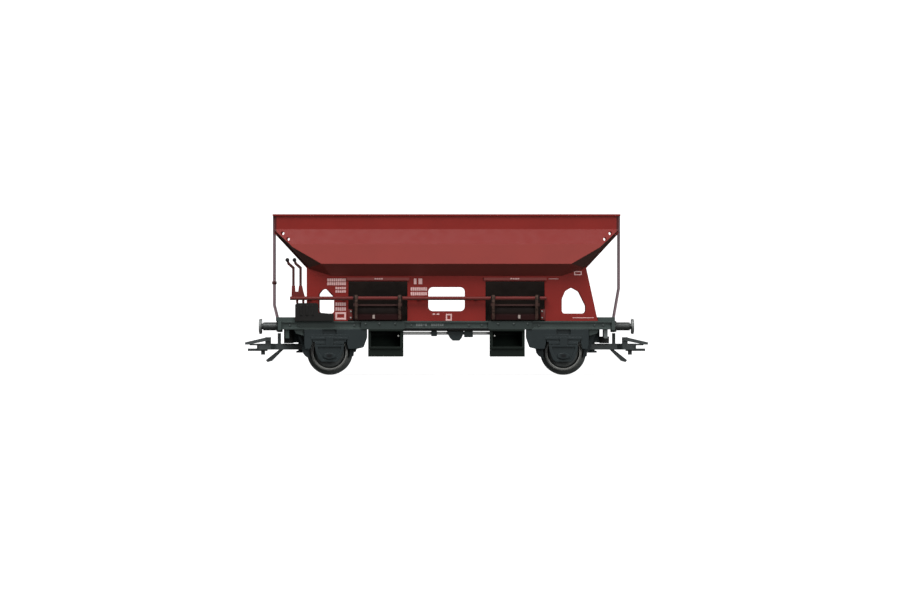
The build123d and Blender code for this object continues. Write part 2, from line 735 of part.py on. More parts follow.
hanger_table = [(-3.65, 1.7, 2.0), (6.5, 2.6, 2.3)]  # x, width, drop below the solebar
hanger_depth = 2.4
with BuildPart() as brake_hangers:
    for x, width, drop in hanger_table:
        with Locations((x, bar_y, sill_bottom)):
            Box(width, hanger_depth, drop, align=(Align.CENTER, Align.CENTER, Align.MAX))
    with BuildSketch(Plane.XZ.offset(-bar_y - hanger_depth / 2)):
        with BuildLine():
            Polyline(*[(x, sill_bottom - drop) for x, drop in (
                (0.1, 0), (5.1, 0), (5.0, 1.2), (4.5, 2.5), (3.8, 3.3), (1.8, 3.3), (1.0, 2.5), (0.3, 1.2),
            )], close=True)
        make_face()
    extrude(amount=hanger_depth)
    with Locations((0, bar_y, bar_z)):
        Box(2 * chute_inner_x, bar_depth + 2 * slide_clearance, bar_height + 2 * slide_clearance,
            mode=Mode.SUBTRACT)
keep(brake_hangers, "brake_hangers")

# Platform end: lever console with ribs, its stand and two bent hand levers
console_depth = 1.5
console_in_x = console_out_x - console_length
console_foot_x = console_in_x - 4.5
console_rib_pitch = 1.7
console_rib = (0.6, 0.5, 3.0)
with BuildPart() as console:
    with BuildSketch(Plane.XZ.offset(plate_half_width)):
        with BuildLine():
            Polyline((-console_out_x, deck_top), (-console_out_x, console_top - 0.5),
                     (0.5 - console_out_x, console_top), (-console_in_x - 0.5, console_top),
                     (-console_in_x, console_top - 0.5), (-console_in_x, deck_top + 1.4),
                     (-console_foot_x, deck_top + 1.0), (-console_foot_x, sill_top),
                     (-deck_inner_x, sill_top), (-deck_inner_x, deck_top), close=True)
        make_face()
    extrude(amount=console_depth)
    with Locations(((-console_out_x - console_in_x) / 2, -plate_half_width - console_depth,
                    deck_top + console_rise / 2)):
        with GridLocations(console_rib_pitch, 0, 3, 1):
            Box(*console_rib)
keep(console, "lever_console")

lever_y = plate_half_width + 0.35
stand_thickness = 0.6
lever_width = 0.75
lever_lean = 1.8
with BuildPart() as stand:
    with BuildSketch(Plane.XZ.offset(lever_y)):
        with BuildLine():
            Polyline((outer_lever_x - 0.6, stand_low), (stand_right_x, stand_low),
                     (inner_lever_x + 0.8, stand_low + 2.4), (inner_lever_x + 0.5, stand_top),
                     (inner_lever_x - 0.5, stand_top), (inner_lever_x - 0.7, stand_low + 2.2),
                     (outer_lever_x + 0.6, stand_low + 2.2), (outer_lever_x + 0.5, stand_top),
                     (outer_lever_x - 0.5, stand_top), close=True)
        make_face()
        for x in (outer_lever_x + 1.1, inner_lever_x + 0.8):
            with Locations((x, console_top)):
                Rectangle(0.7, stand_leg, align=(Align.CENTER, Align.MIN))
    extrude(amount=stand_thickness)
keep(stand, "lever_stand")
for foot_lever_x, name in ((outer_lever_x, "outer"), (inner_lever_x, "inner")):
    with BuildPart() as lever:
        with BuildSketch(Plane.XZ.offset(lever_y)):
            with BuildLine():
                half = lever_width / 2
                Polyline(*[(foot_lever_x + run, stand_top + rise) for run, rise in (
                    (-half, 0), (-half, lever_rise - 2.6), (-half - lever_lean + 0.4, lever_rise - 1.3),
                    (-half - lever_lean, lever_rise), (half - lever_lean, lever_rise),
                    (half - lever_lean + 0.3, lever_rise - 0.8), (half, lever_rise - 2.1), (half, 0),
                )], close=True)
            make_face()
        extrude(amount=stand_thickness)
        with Locations((foot_lever_x - lever_lean, -lever_y - stand_thickness / 2, stand_top + lever_rise)):
            Sphere(lever_knob_radius)
    keep(lever, f"hand_lever_{name}")

# Couplers: pivoted shank, head with a lower prong and finger, and a lifting bail
coupler_pivot_x = headstock_x - 6.7
shank_high = shank_low + shank_thickness
shank_half_width = 1.6
head_x = headstock_x + 2.3
head_end = head_x + 4.1
head_half_width = 3.6
prong_low = shank_low - 0.4
prong_end = head_end + 2.7
knob_low = 5.9
bail_pivot_x = head_x + 0.8
bail_pivot_z = shank_high + 1.2
bail_pin_radius = 0.35
bail_half_width = 4.3
bail_wall = 0.55
bail_tip_x = head_end + 3.5
bail_tip_z = shank_high + 0.1
finger_x = head_x - 3.7
with BuildPart() as pocket:
    with Locations((coupler_pivot_x, 0, shank_high + 0.3)):
        Box(4.6, centre_sill_width + 0.4, sill_bottom - shank_high - 0.3,
            align=(Align.CENTER, Align.CENTER, Align.MIN))
    with Locations((coupler_pivot_x, 0, shank_low - 0.9)):
        Cylinder(pivot_radius, shank_thickness + 1.2, align=(Align.CENTER, Align.CENTER, Align.MIN))
        Cylinder(pivot_radius + 0.6, 0.6, align=(Align.CENTER, Align.CENTER, Align.MIN))
both_ends(pocket, "coupler_pocket")

with BuildPart() as coupler:
    with BuildSketch(Plane.XY.offset(shank_low)):
        with BuildLine():
            half = [(coupler_pivot_x, shank_half_width + 0.4), (head_x - 1.5, shank_half_width),
                    (head_x, head_half_width), (head_end - 0.8, head_half_width),
                    (head_end, head_half_width - 0.8)]
            Polyline(*half, *[(x, -y) for x, y in reversed(half)], close=True)
        make_face()
        with Locations((coupler_pivot_x, 0)):
            Circle(shank_half_width + 0.4)
            Circle(pivot_radius + pivot_clearance, mode=Mode.SUBTRACT)
    extrude(amount=shank_thickness)
    with BuildSketch(Plane.XZ.offset(-0.45)):
        with BuildLine():
            Polyline((finger_x, shank_low), (finger_x + 1.3, shank_low), (finger_x + 5.2, 4.3),
                     (finger_x + 4.7, 3.7), (finger_x + 3.3, 4.1), close=True)
        make_face()
    extrude(amount=0.9)
    with Locations((headstock_x - 0.2, 0, shank_high)):
        Box(1.0, 1.0, headstock_low - shank_high - 0.3, align=(Align.CENTER, Align.CENTER, Align.MIN))
    with Locations((prong_end, 0, prong_low)):
        Box(prong_end - head_x - 1.0, 4.4, 0.75, align=(Align.MAX, Align.CENTER, Align.MIN))
    with Locations((head_end - 1.8, 0, knob_low)):
        Box(1.2, 1.2, shank_low - knob_low, align=(Align.CENTER, Align.CENTER, Align.MIN))
    for side in (-1, 1):
        with Locations((bail_pivot_x, side * (head_half_width - 0.4), shank_high)):
            Box(1.6, 0.8, bail_pivot_z + 0.7 - shank_high, align=(Align.CENTER, Align.CENTER, Align.MIN))
    with Locations((bail_pivot_x, 0, bail_pivot_z)):
        Cylinder(bail_pin_radius, 2 * bail_half_width - 0.2, rotation=(90, 0, 0))
both_ends(coupler, "coupler")

with BuildPart() as bail:
    with BuildSketch(Plane.XZ.offset(-bail_half_width)):
        with BuildLine():
            Polyline((bail_pivot_x - 0.7, bail_pivot_z + 0.7), (bail_pivot_x + 0.8, bail_pivot_z + 0.6),
                     (bail_tip_x, bail_tip_z + 0.3), (bail_tip_x, bail_tip_z - 0.4),
                     (bail_tip_x - 1.2, bail_tip_z - 0.4), (bail_pivot_x + 0.8, bail_pivot_z - 0.5),
                     (bail_pivot_x - 0.7, bail_pivot_z - 0.5), close=True)
        make_face()
        with Locations((bail_pivot_x, bail_pivot_z)):
            Circle(bail_pin_radius + pivot_clearance, mode=Mode.SUBTRACT)
    extrude(amount=2 * bail_half_width)
    with Locations((bail_pivot_x - 2, 0, bail_pivot_z)):
        Box(bail_tip_x - bail_pivot_x + 1.1, 2 * (bail_half_width - bail_wall), 4,
            align=(Align.MIN, Align.CENTER, Align.CENTER), mode=Mode.SUBTRACT)
both_ends(bail, "coupler_bail")
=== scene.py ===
# %% [markdown]
# # An H0 model of an open hopper wagon
# The wagon stands on its wheel flanges, 119 mm long over its couplers. Its shell, frame and running gear
# come in as solids with their real sizes. This lesson gives them their finishes, adds the small trim that
# a model maker would fit last, and sets up the studio that shows it.

# %% Load the frame
import bpy
import math
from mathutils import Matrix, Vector


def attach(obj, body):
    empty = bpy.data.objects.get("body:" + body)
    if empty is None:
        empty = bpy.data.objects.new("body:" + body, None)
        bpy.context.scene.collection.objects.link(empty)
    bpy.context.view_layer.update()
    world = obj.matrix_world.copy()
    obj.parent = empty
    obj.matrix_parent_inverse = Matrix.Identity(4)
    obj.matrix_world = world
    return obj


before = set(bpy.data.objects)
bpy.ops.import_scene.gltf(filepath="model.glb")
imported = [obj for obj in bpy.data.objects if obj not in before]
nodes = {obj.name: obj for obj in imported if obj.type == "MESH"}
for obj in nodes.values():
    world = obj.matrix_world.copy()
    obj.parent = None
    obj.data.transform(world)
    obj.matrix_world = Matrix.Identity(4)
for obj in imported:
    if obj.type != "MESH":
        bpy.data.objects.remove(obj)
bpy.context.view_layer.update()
MM = 0.001
WAGON = "wagon"

# %% [markdown]
# ## A small kit for finishes
# Every finish here is a painted or moulded skin: one colour that wanders a little, a gloss that wanders
# a little, and a grain too fine to see as shape. Noise on the Object coordinates gives all three, because
# it needs no unwrapping and stays put when a wheel turns. The scale is counted per metre, so a grain of
# a quarter of a millimetre is a scale of about 4000. First comes the bare material.

# %% A new material
def new_material(name):
    """A material with its shader and its Object coordinates at hand."""
    material = bpy.data.materials.new(name)
    material.use_nodes = True
    tree = material.node_tree
    shader = tree.nodes["Principled BSDF"]
    coordinates = tree.nodes.new("ShaderNodeTexCoord").outputs["Object"]
    return material, tree, shader, coordinates


print("kit: new_material")

# %% [markdown]
# ## Noise and what it drives
# Noise is a value that wanders over the surface. A ramp makes colour of it, a map range makes gloss of it,
# and a bump makes grain of it. A picture could do the same, but its pixels would show on a model that is
# looked at from close by.

# %% Noise, ramp, spread and grain
NOISE_LOW, NOISE_HIGH = 0.3, 0.7  # noise seldom leaves this range


def noise(tree, coordinates, scale, detail):
    """Noise of so many cells per metre, finer where the detail is higher."""
    texture = tree.nodes.new("ShaderNodeTexNoise")
    texture.inputs["Scale"].default_value = scale
    texture.inputs["Detail"].default_value = detail
    tree.links.new(coordinates, texture.inputs["Vector"])
    return texture.outputs["Fac"]


def ramp(tree, value, stops):
    """A colour ramp from one to the other of two (position, colour) stops."""
    node = tree.nodes.new("ShaderNodeValToRGB")
    for element, (position, colour) in zip(node.color_ramp.elements, stops):
        element.position = position
        element.color = (*colour, 1)
    tree.links.new(value, node.inputs["Fac"])
    return node.outputs["Color"]


def spread(tree, value, low, high):
    """Noise spread over all values from low to high."""
    node = tree.nodes.new("ShaderNodeMapRange")
    node.inputs["From Min"].default_value = NOISE_LOW
    node.inputs["From Max"].default_value = NOISE_HIGH
    node.inputs["To Min"].default_value = low
    node.inputs["To Max"].default_value = high
    tree.links.new(value, node.inputs["Value"])
    return node.outputs["Result"]


def grain(tree, shader, height, distance, strength, normal):
    """A fine bump for the shader, on top of a normal that is already rounded."""
    bump = tree.nodes.new("ShaderNodeBump")
    tree.links.new(normal, bump.inputs["Normal"])
    bump.inputs["Distance"].default_value = distance
    bump.inputs["Strength"].default_value = strength
    tree.links.new(height, bump.inputs["Height"])
    tree.links.new(bump.outputs["Normal"], shader.inputs["Normal"])


print("kit: noise, ramp, spread, grain")

# %% [markdown]
# ## Mixing and sums
# One paint over another is a mix of two colours by a mask. A mask is a value from 0 to 1, so where two
# conditions have to hold their masks are multiplied, and where one is enough they are added.

# %% Mixing and arithmetic
MIX_FACTOR, MIX_FIRST, MIX_SECOND, MIX_RESULT = 0, 6, 7, 2  # the Mix node's sockets for colours


def mixed(tree, factor, first, second):
    """Two colours mixed by a factor, each of the three a value or a socket."""
    node = tree.nodes.new("ShaderNodeMix")
    node.data_type = "RGBA"
    for place, value in ((MIX_FACTOR, factor), (MIX_FIRST, first), (MIX_SECOND, second)):
        socket = node.inputs[place]
        if isinstance(value, bpy.types.NodeSocket):
            tree.links.new(value, socket)
        elif isinstance(value, (int, float)):
            socket.default_value = value
        else:
            socket.default_value = (*value, 1)
    return node.outputs[MIX_RESULT]


def math_node(tree, operation, first, second=0.0):
    """One arithmetic step on values or sockets."""
    node = tree.nodes.new("ShaderNodeMath")
    node.operation = operation
    for socket, value in zip(node.inputs, (first, second)):
        if isinstance(value, bpy.types.NodeSocket):
            tree.links.new(value, socket)
        else:
            socket.default_value = value
    return node.outputs[0]


def times(tree, first, *others):
    """The product of masks and numbers."""
    for other in others:
        first = math_node(tree, "MULTIPLY", first, other)
    return first


print("kit: mixed, math_node, times")

# %% [markdown]
# ## Masks
# Paint wears on edges first, and along the folds and rims the paler edge is also a painted highlight. A
# Bevel node turns the normal only near an edge, so where it departs from the true normal there is an edge.
# The edges could be picked by hand, but the solids have thousands of them.
# Rings on turned metal follow the distance from an axle.

# %% Worn edges and distances
EDGE_WIDTH = 0.18 * MM
EDGE_SAMPLES = 4
# The start lies so close to 1 that even the shallow folds of the hopper get a pale line, a painted
# highlight.
EDGE_STARTS, EDGE_FULL = 0.998, 0.95  # cosine of the angle between the rounded and the true normal


def worn_and_highlit_edges(tree):
    """1 on the edges of a solid, 0 on its faces, and the rounded normal that tells them apart."""
    rounded = tree.nodes.new("ShaderNodeBevel")
    rounded.samples = EDGE_SAMPLES
    rounded.inputs["Radius"].default_value = EDGE_WIDTH
    true = tree.nodes.new("ShaderNodeNewGeometry").outputs["Normal"]
    dot = tree.nodes.new("ShaderNodeVectorMath")
    dot.operation = "DOT_PRODUCT"
    tree.links.new(rounded.outputs["Normal"], dot.inputs[0])
    tree.links.new(true, dot.inputs[1])
    node = tree.nodes.new("ShaderNodeMapRange")
    node.inputs["From Min"].default_value = EDGE_STARTS
    node.inputs["From Max"].default_value = EDGE_FULL
    tree.links.new(dot.outputs["Value"], node.inputs["Value"])
    return node.outputs["Result"], rounded.outputs["Normal"]


def distance_from(tree, coordinates, centre, weights):
    """Distance from a centre, counted only along the axes whose weight is 1."""
    shift = tree.nodes.new("ShaderNodeVectorMath")
    shift.operation = "SUBTRACT"
    shift.inputs[1].default_value = centre
    tree.links.new(coordinates, shift.inputs[0])
    keep = tree.nodes.new("ShaderNodeVectorMath")
    keep.operation = "MULTIPLY"
    keep.inputs[1].default_value = weights
    tree.links.new(shift.outputs["Vector"], keep.inputs[0])
    length = tree.nodes.new("ShaderNodeVectorMath")
    length.operation = "LENGTH"
    tree.links.new(keep.outputs["Vector"], length.inputs[0])
    return length.outputs["Value"]


print("kit: worn_and_highlit_edges, distance_from")

# %% [markdown]
# ## Zones
# Where one solid shows two colours, a painter lays masking tape along its shape. A zone does the same with
# ranges along the solid's own axes, in millimetres. Along and across the wagon they count from the middle
# both ways, so that both ends and both sides get the paint at once. Facets that differ only in their
# slope are told apart by the parts of their normal.

# %% Bands and zones
def axes(tree, vector):
    """The three parts of a vector."""
    split = tree.nodes.new("ShaderNodeSeparateXYZ")
    tree.links.new(vector, split.inputs["Vector"])
    return split.outputs["X"], split.outputs["Y"], split.outputs["Z"]


def facing(tree):
    """How far a face looks along the wagon, across it and up, each from -1 to 1."""
    return axes(tree, tree.nodes.new("ShaderNodeNewGeometry").outputs["Normal"])


def band(tree, value, low, high, blur=0.08 * MM):
    """1 where the value lies between low and high, with a narrow blur at both ends."""
    rise = tree.nodes.new("ShaderNodeMapRange")
    fall = tree.nodes.new("ShaderNodeMapRange")
    for node, edge, sign in ((rise, low, 1), (fall, high, -1)):
        node.inputs["From Min"].default_value = edge - sign * blur
        node.inputs["From Max"].default_value = edge + sign * blur
        tree.links.new(value, node.inputs["Value"])
    return times(tree, rise.outputs["Result"], fall.outputs["Result"])


def zone(tree, coordinates, x=None, y=None, z=None, blur=0.08, both_ends=True):
    """1 inside ranges in mm, x and y counted from the middle both ways."""
    masks = []
    for value, limits, both in zip(axes(tree, coordinates), (x, y, z), (both_ends, True, False)):
        if limits:
            value = math_node(tree, "ABSOLUTE", value) if both else value
            masks.append(band(tree, value, limits[0] * MM, limits[1] * MM, blur * MM))
    return times(tree, *masks)


def painted(colour, **ranges):
    """A paint of one colour inside one zone."""
    def paint(tree, coordinates, tint):
        return mixed(tree, zone(tree, coordinates, **ranges), tint, colour)
    return paint


print("kit: axes, facing, band, zone, painted")

# %% [markdown]
# ## One recipe for painted and moulded pieces
# Each finish is the same recipe with its own numbers: a wandering colour, then a paint of its own where a
# solid shows two colours, then painted shade on faces that look down, then the paler edges, and at last
# gloss and grain. Its noises have different scales, because equal ones would rise and fall together.

# %% The recipe
PATCHES, WEAR_AND_HIGHLIGHT_CELLS, GLOSS, SPECKS, GRAIN = 160, 700, 420, 2600, 4500  # cells of noise per metre
PATCH_STOPS, SPECK_STOPS, SPECK_SHARE = (0.35, 0.65), (0.4, 0.6), 0.15
# The colour of the painted shade on faces that look down.
UNDERSIDE_SHADE = (0.13, 0.078, 0.063)
DOWN_STARTS, DOWN_FULL = -0.15, -0.55
EDGE_LIFT, EDGE_FLOOR, LEAST_EDGE_PALENESS = 1.7, 0.02, 0.4
GLOSS_WANDER = 0.06
GRAIN_DEPTH, GRAIN_STRENGTH = 0.02 * MM, 0.22


def underside(tree):
    """1 on faces that look down, 0 on upright ones and tops."""
    node = tree.nodes.new("ShaderNodeMapRange")
    node.inputs["From Min"].default_value = DOWN_STARTS
    node.inputs["From Max"].default_value = DOWN_FULL
    tree.links.new(facing(tree)[2], node.inputs["Value"])
    return node.outputs["Result"]


def moulded(name, colour, roughness, wander=0.10, edge=0.5, underside_shade=0.0, gloss_level=0.5, metallic=0.0,
            paint=None):
    """Painted or self-coloured plastic: wandering colour and gloss, fine grain, paler edges that are worn
    and carry a painted highlight.
    """
    material, tree, shader, coordinates = new_material(name)
    shades = (tuple(c * (1 - wander) for c in colour), tuple(min(1, c * (1 + wander)) for c in colour))
    patch = ramp(tree, noise(tree, coordinates, PATCHES, 4), zip(PATCH_STOPS, shades))
    speck = ramp(tree, noise(tree, coordinates, SPECKS, 2), zip(SPECK_STOPS, shades))
    tint = mixed(tree, SPECK_SHARE, patch, speck)
    if paint:
        tint = paint(tree, coordinates, tint)
    # Faces that look down are mixed towards a darker colour, a painted shade under overhangs.
    if underside_shade:
        tint = mixed(tree, times(tree, underside(tree), underside_shade), tint, UNDERSIDE_SHADE)
    # Paler edges: wear, and on folds and rims a painted highlight.
    mask, rounded = worn_and_highlit_edges(tree)
    wear_and_highlight = spread(tree, noise(tree, coordinates, WEAR_AND_HIGHLIGHT_CELLS, 3), LEAST_EDGE_PALENESS * edge, edge)
    pale = tuple(min(1, c * EDGE_LIFT + EDGE_FLOOR) for c in colour)
    tree.links.new(mixed(tree, times(tree, mask, wear_and_highlight), tint, pale), shader.inputs["Base Color"])
    gloss = noise(tree, coordinates, GLOSS, 3)
    gloss = spread(tree, gloss, roughness - GLOSS_WANDER, roughness + GLOSS_WANDER)
    tree.links.new(gloss, shader.inputs["Roughness"])
    shader.inputs["Metallic"].default_value = metallic
    shader.inputs["Specular IOR Level"].default_value = gloss_level
    grain(tree, shader, noise(tree, coordinates, GRAIN, 2), GRAIN_DEPTH, GRAIN_STRENGTH, rounded)
    return material


print("kit: underside, moulded")

# %% [markdown]
# ## The body
# The hopper is sprayed in a red-brown freight colour, satin and very even, and its undersides carry painted
# shade. The flare and the lips over the doors are painted paler, a painted highlight, and the facet that
# faces up most is painted darker, a painted shade. The cut corners and the rolled ends of the rim are
# painted dark, a painted shade. The load floor inside is darker and duller.

# %% The body's finishes
BODY_RED = (0.262, 0.020, 0.015)
FLARE_SLOPE, FLARE_HIGHLIGHT, FLARE_HIGHLIGHT_SHARE = (0.12, 0.34), (0.33, 0.095, 0.080), 0.30
FACET_SLOPE, FACET_SHADE, FACET_BLUR = (0.40, 0.56), (0.228, 0.018, 0.014), 0.02
UPRIGHT = (-0.06, 0.06)
CORNER_TURN, CORNER_SLOPE, CORNER_BLUR = (0.30, 0.90), (-0.98, -0.12), 0.03
CORNER = {"x": (38.5, 50.6), "y": (12.8, 18.0), "z": (31.9, 41.1)}
END_SHADE = (0.042, 0.011, 0.008)
RIM_END_X, RIM_END_BLUR = (50.1, 50.8), 0.12
RIM_END, RIM_END_SHADE, RIM_END_COVER = {"y": (13.6, 15.0), "z": (41.5, 46.8)}, (0.050, 0.014, 0.014), 0.8
DOOR_LIP, LIP_HIGHLIGHT, LIP_HIGHLIGHT_SHARE = {"y": (13.25, 14.0), "z": (27.4, 28.7)}, (0.30, 0.13, 0.12), 0.4
LOAD_SLOPE, LOAD_DARK = (0.1, 2.0), (0.012, 0.009, 0.007)


def body_paint(tree, coordinates, tint):
    """Painted highlights on the flare and door lips, painted shade on the upmost facet, cut corners and rim
    ends.
    """
    along, _, slope = facing(tree)
    # The flare faces a little up and is painted paler, a painted highlight.
    flare = times(tree, band(tree, slope, *FLARE_SLOPE, FACET_BLUR), FLARE_HIGHLIGHT_SHARE)
    tint = mixed(tree, flare, tint, FLARE_HIGHLIGHT)
    # The facet that faces up most is painted darker, a painted shade.
    tint = mixed(tree, band(tree, slope, *FACET_SLOPE, FACET_BLUR), tint, FACET_SHADE)
    # The cut corners and the strip under the bulge are painted dark, a painted shade.
    turned_out = band(tree, math_node(tree, "ABSOLUTE", along), *CORNER_TURN, CORNER_BLUR)
    leaning = times(tree, turned_out, band(tree, slope, *CORNER_SLOPE, CORNER_BLUR))
    standing = times(tree, band(tree, slope, *UPRIGHT, FACET_BLUR), zone(tree, coordinates, **CORNER))
    tint = mixed(tree, math_node(tree, "MAXIMUM", leaning, standing), tint, END_SHADE)
    # The rolled ends of the rim are painted dark, a painted shade.
    rim_end = zone(tree, coordinates, x=RIM_END_X, blur=RIM_END_BLUR)
    rim_end = times(tree, rim_end, zone(tree, coordinates, **RIM_END), RIM_END_COVER)
    tint = mixed(tree, rim_end, tint, RIM_END_SHADE)
    # The lips over the doors are painted paler, a painted highlight on the ledge.
    return mixed(tree, times(tree, zone(tree, coordinates, **DOOR_LIP), LIP_HIGHLIGHT_SHARE), tint, LIP_HIGHLIGHT)


def slope_paint(tree, coordinates, tint):
    """The end floors are dark on their upper faces like the load floor, and carry painted shade below like
    the shell.
    """
    slope = facing(tree)[2]
    # Outer faces that look down get the painted shade of the cut corners.
    tint = mixed(tree, band(tree, slope, *CORNER_SLOPE, CORNER_BLUR), tint, END_SHADE)
    return mixed(tree, band(tree, slope, *LOAD_SLOPE), tint, LOAD_DARK)


body_red = moulded("body_red_satin", BODY_RED, 0.45, wander=0.05, edge=0.35, underside_shade=0.45, gloss_level=0.20,
                   paint=body_paint)
slope_red = moulded("end_floor_red", BODY_RED, 0.45, edge=0.35, underside_shade=0.45, gloss_level=0.2,
                    paint=slope_paint)
floor_dark = moulded("load_floor_dark", (0.010, 0.006, 0.004), 0.65, wander=0.3, edge=0.3, gloss_level=0.08)
print("body finishes:", body_red.name, slope_red.name, floor_dark.name)

# %% [markdown]
# ## Gates and fittings
# A gate is moulded near-black brown, a dark that also stands for the shadow that the rod and the lintel
# throw on its middle. Its foot and head are painted lighter red and its arms pale, painted highlights where
# the light falls, and its lug is painted pale. The fittings carry the body's red, a shade darker, with
# painted shade on their undersides. The knobs of the hand levers are black.

# %% Finishes of the gates and fittings
GATE_FOOT, FOOT_RED = {"z": (15.5, 18.0), "blur": 0.2}, (0.022, 0.005, 0.005)
GATE_HEAD, HEAD_RED, HEAD_COVER = {"z": (20.3, 21.2), "blur": 0.2}, (0.085, 0.042, 0.038), 0.8
GATE_ARMS, ARM_HIGHLIGHT, ARM_HIGHLIGHT_PATCHES = ((13.4, 14.2), (26.2, 27.0)), (0.115, 0.070, 0.055), 1500
GATE_LUG, LUG_BRIGHT = {"x": (21.1, 21.8), "y": (13.8, 15.0), "z": (16.6, 17.7)}, (0.42, 0.34, 0.31)
LEVER_KNOBS, KNOB_BLACK = {"z": (33.3, 35.0), "blur": 0.2}, (0.012, 0.011, 0.012)


def gate_paint(tree, coordinates, tint):
    """Foot and head painted lighter red and arms painted pale, as painted highlights; the lug painted pale.
    """
    # Foot and head painted lighter red: a painted highlight where the light from above falls.
    tint = mixed(tree, zone(tree, coordinates, **GATE_FOOT), tint, FOOT_RED)
    tint = mixed(tree, times(tree, zone(tree, coordinates, **GATE_HEAD), HEAD_COVER), tint, HEAD_RED)
    # Arms: painted highlights in patches.
    inner, outer = (zone(tree, coordinates, x=reach) for reach in GATE_ARMS)
    patchy_highlight = spread(tree, noise(tree, coordinates, ARM_HIGHLIGHT_PATCHES, 3), 0.2, 1.0)
    tint = mixed(tree, times(tree, math_node(tree, "ADD", inner, outer), patchy_highlight), tint, ARM_HIGHLIGHT)
    # The lug is painted pale.
    return mixed(tree, zone(tree, coordinates, **GATE_LUG), tint, LUG_BRIGHT)


# Near-black, which also stands for the shadow that the rod and the lintel throw on the gate's middle.
gate_brown = moulded("gate_brown_painted_shade", (0.010, 0.006, 0.005), 0.6, wander=0.25, edge=0.4, gloss_level=0.10,
                     paint=gate_paint)
fittings_red = moulded("fittings_red_satin", (0.150, 0.018, 0.015), 0.45, edge=0.4, underside_shade=0.5,
                       gloss_level=0.25)
post_brown = moulded("post_brown_satin", (0.215, 0.150, 0.165), 0.42, edge=0.6, gloss_level=0.4)
lever_dark = moulded("lever_dark_red", (0.060, 0.015, 0.014), 0.45, gloss_level=0.3,
                     paint=painted(KNOB_BLACK, **LEVER_KNOBS))
console_black = moulded("console_black_moulded", (0.014, 0.013, 0.012), 0.5, edge=0.6, gloss_level=0.18)
print("gate and fitting finishes:", gate_brown.name, fittings_red.name, post_brown.name, lever_dark.name,
      console_black.name)

# %% [markdown]
# ## Frame and running gear
# The frame is moulded in a dark grey with a green cast. Between the chutes the foot of each solebar is
# painted black, a painted shade along its lower edge, and a patch at the foot of each axlebox cap is
# painted black, a painted shadow. The step plate at the right end is painted pale. The chutes are black,
# and only the apron over the solebar keeps the frame's grey. The brake rod is pale grey, and its lower edge
# is painted dark, a painted shade.

# %% Finishes of the frame
FRAME_GREY = (0.048, 0.066, 0.061)
# Painted shade along the lower edge of each solebar.
SILL_FOOT, SILL_FOOT_SHADE = {"x": (-1.0, 12.7), "z": (13.0, 13.85)}, (0.006, 0.008, 0.008)  # from the middle out
# The step plate is painted pale.
STEP_PLATE, STEP_BRIGHT = {"x": (46.0, 47.8), "both_ends": False}, (0.16, 0.175, 0.17)
# Painted shadow at the foot of each axlebox cap.
AXLEBOX_SHADOW_ZONE, CAP_SHADOW = {"x": (33.7, 35.3), "z": (5.1, 6.1), "blur": 0.3}, (0.004, 0.005, 0.006)
APRON, APRON_GREY = {"z": (13.45, 16.5)}, (0.040, 0.052, 0.049)
# Painted shade along the brake rod's lower edge.
ROD_EDGE, ROD_SHADE = {"z": (11.6, 12.1)}, (0.045, 0.050, 0.048)
frame_grey = moulded("frame_grey_moulded", FRAME_GREY, 0.5, gloss_level=0.3)
sill_grey = moulded("solebar_grey_moulded", FRAME_GREY, 0.5, edge=0.2, gloss_level=0.3,
                    paint=painted(SILL_FOOT_SHADE, **SILL_FOOT))
bracket_grey = moulded("end_bracket_grey", FRAME_GREY, 0.5, gloss_level=0.3,
                       paint=painted(STEP_BRIGHT, **STEP_PLATE))
running_grey = moulded("running_gear_grey", (0.019, 0.027, 0.029), 0.5, edge=0.8, gloss_level=0.25,
                       paint=painted(CAP_SHADOW, **AXLEBOX_SHADOW_ZONE))
chute_black = moulded("chute_black_moulded", (0.010, 0.015, 0.012), 0.6, gloss_level=0.12,
                      paint=painted(APRON_GREY, **APRON))
rod_grey = moulded("brake_rod_grey", (0.62, 0.63, 0.61), 0.4, paint=painted(ROD_SHADE, **ROD_EDGE))
coupler_black = moulded("coupler_black_moulded", (0.070, 0.080, 0.080), 0.45, gloss_level=0.3)
print("frame finishes:", frame_grey.name, sill_grey.name, bracket_grey.name, running_grey.name,
      chute_black.name, rod_grey.name, coupler_black.name)

# %% [markdown]
# ## Turned metal
# A wheel of this size is turned and then blackened. The web stays dark, the inner edge of the tyre is cut
# bright again, its face and the tread are rubbed grey in use, and the lathe leaves fine rings. A radial
# texture would need unwrapping, so the rings follow the distance from the axle, and each wheelset gets its
# own centre. A buffer is turned too, and only its head has been rubbed bright by its neighbours.

# %% Wheels and buffers
AXLE_X, AXLE_Z = 34.5, 6.7
TYRE_EDGE, TYRE_BRIGHT = (4.74, 5.02), (0.46, 0.46, 0.43)  # from the axle out, in mm
TYRE_FACE, TYRE_RUBBED = (5.04, 5.70), (0.17, 0.175, 0.165)
BUFFER_HEAD, HEAD_RUBBED = (54.6, 55.5), (0.26, 0.27, 0.265)
WHEEL_BLACK, BUFFER_BLACK = (0.070, 0.077, 0.075), (0.055, 0.060, 0.058)
RINGS = 42000.0  # radians per metre of radius, which is a ring every 0.15 mm
RING_DEPTH, RING_STRENGTH = 0.01 * MM, 0.18
TURNED_WEAR, TURNED_GLOSS = 900, 500  # cells of noise per metre


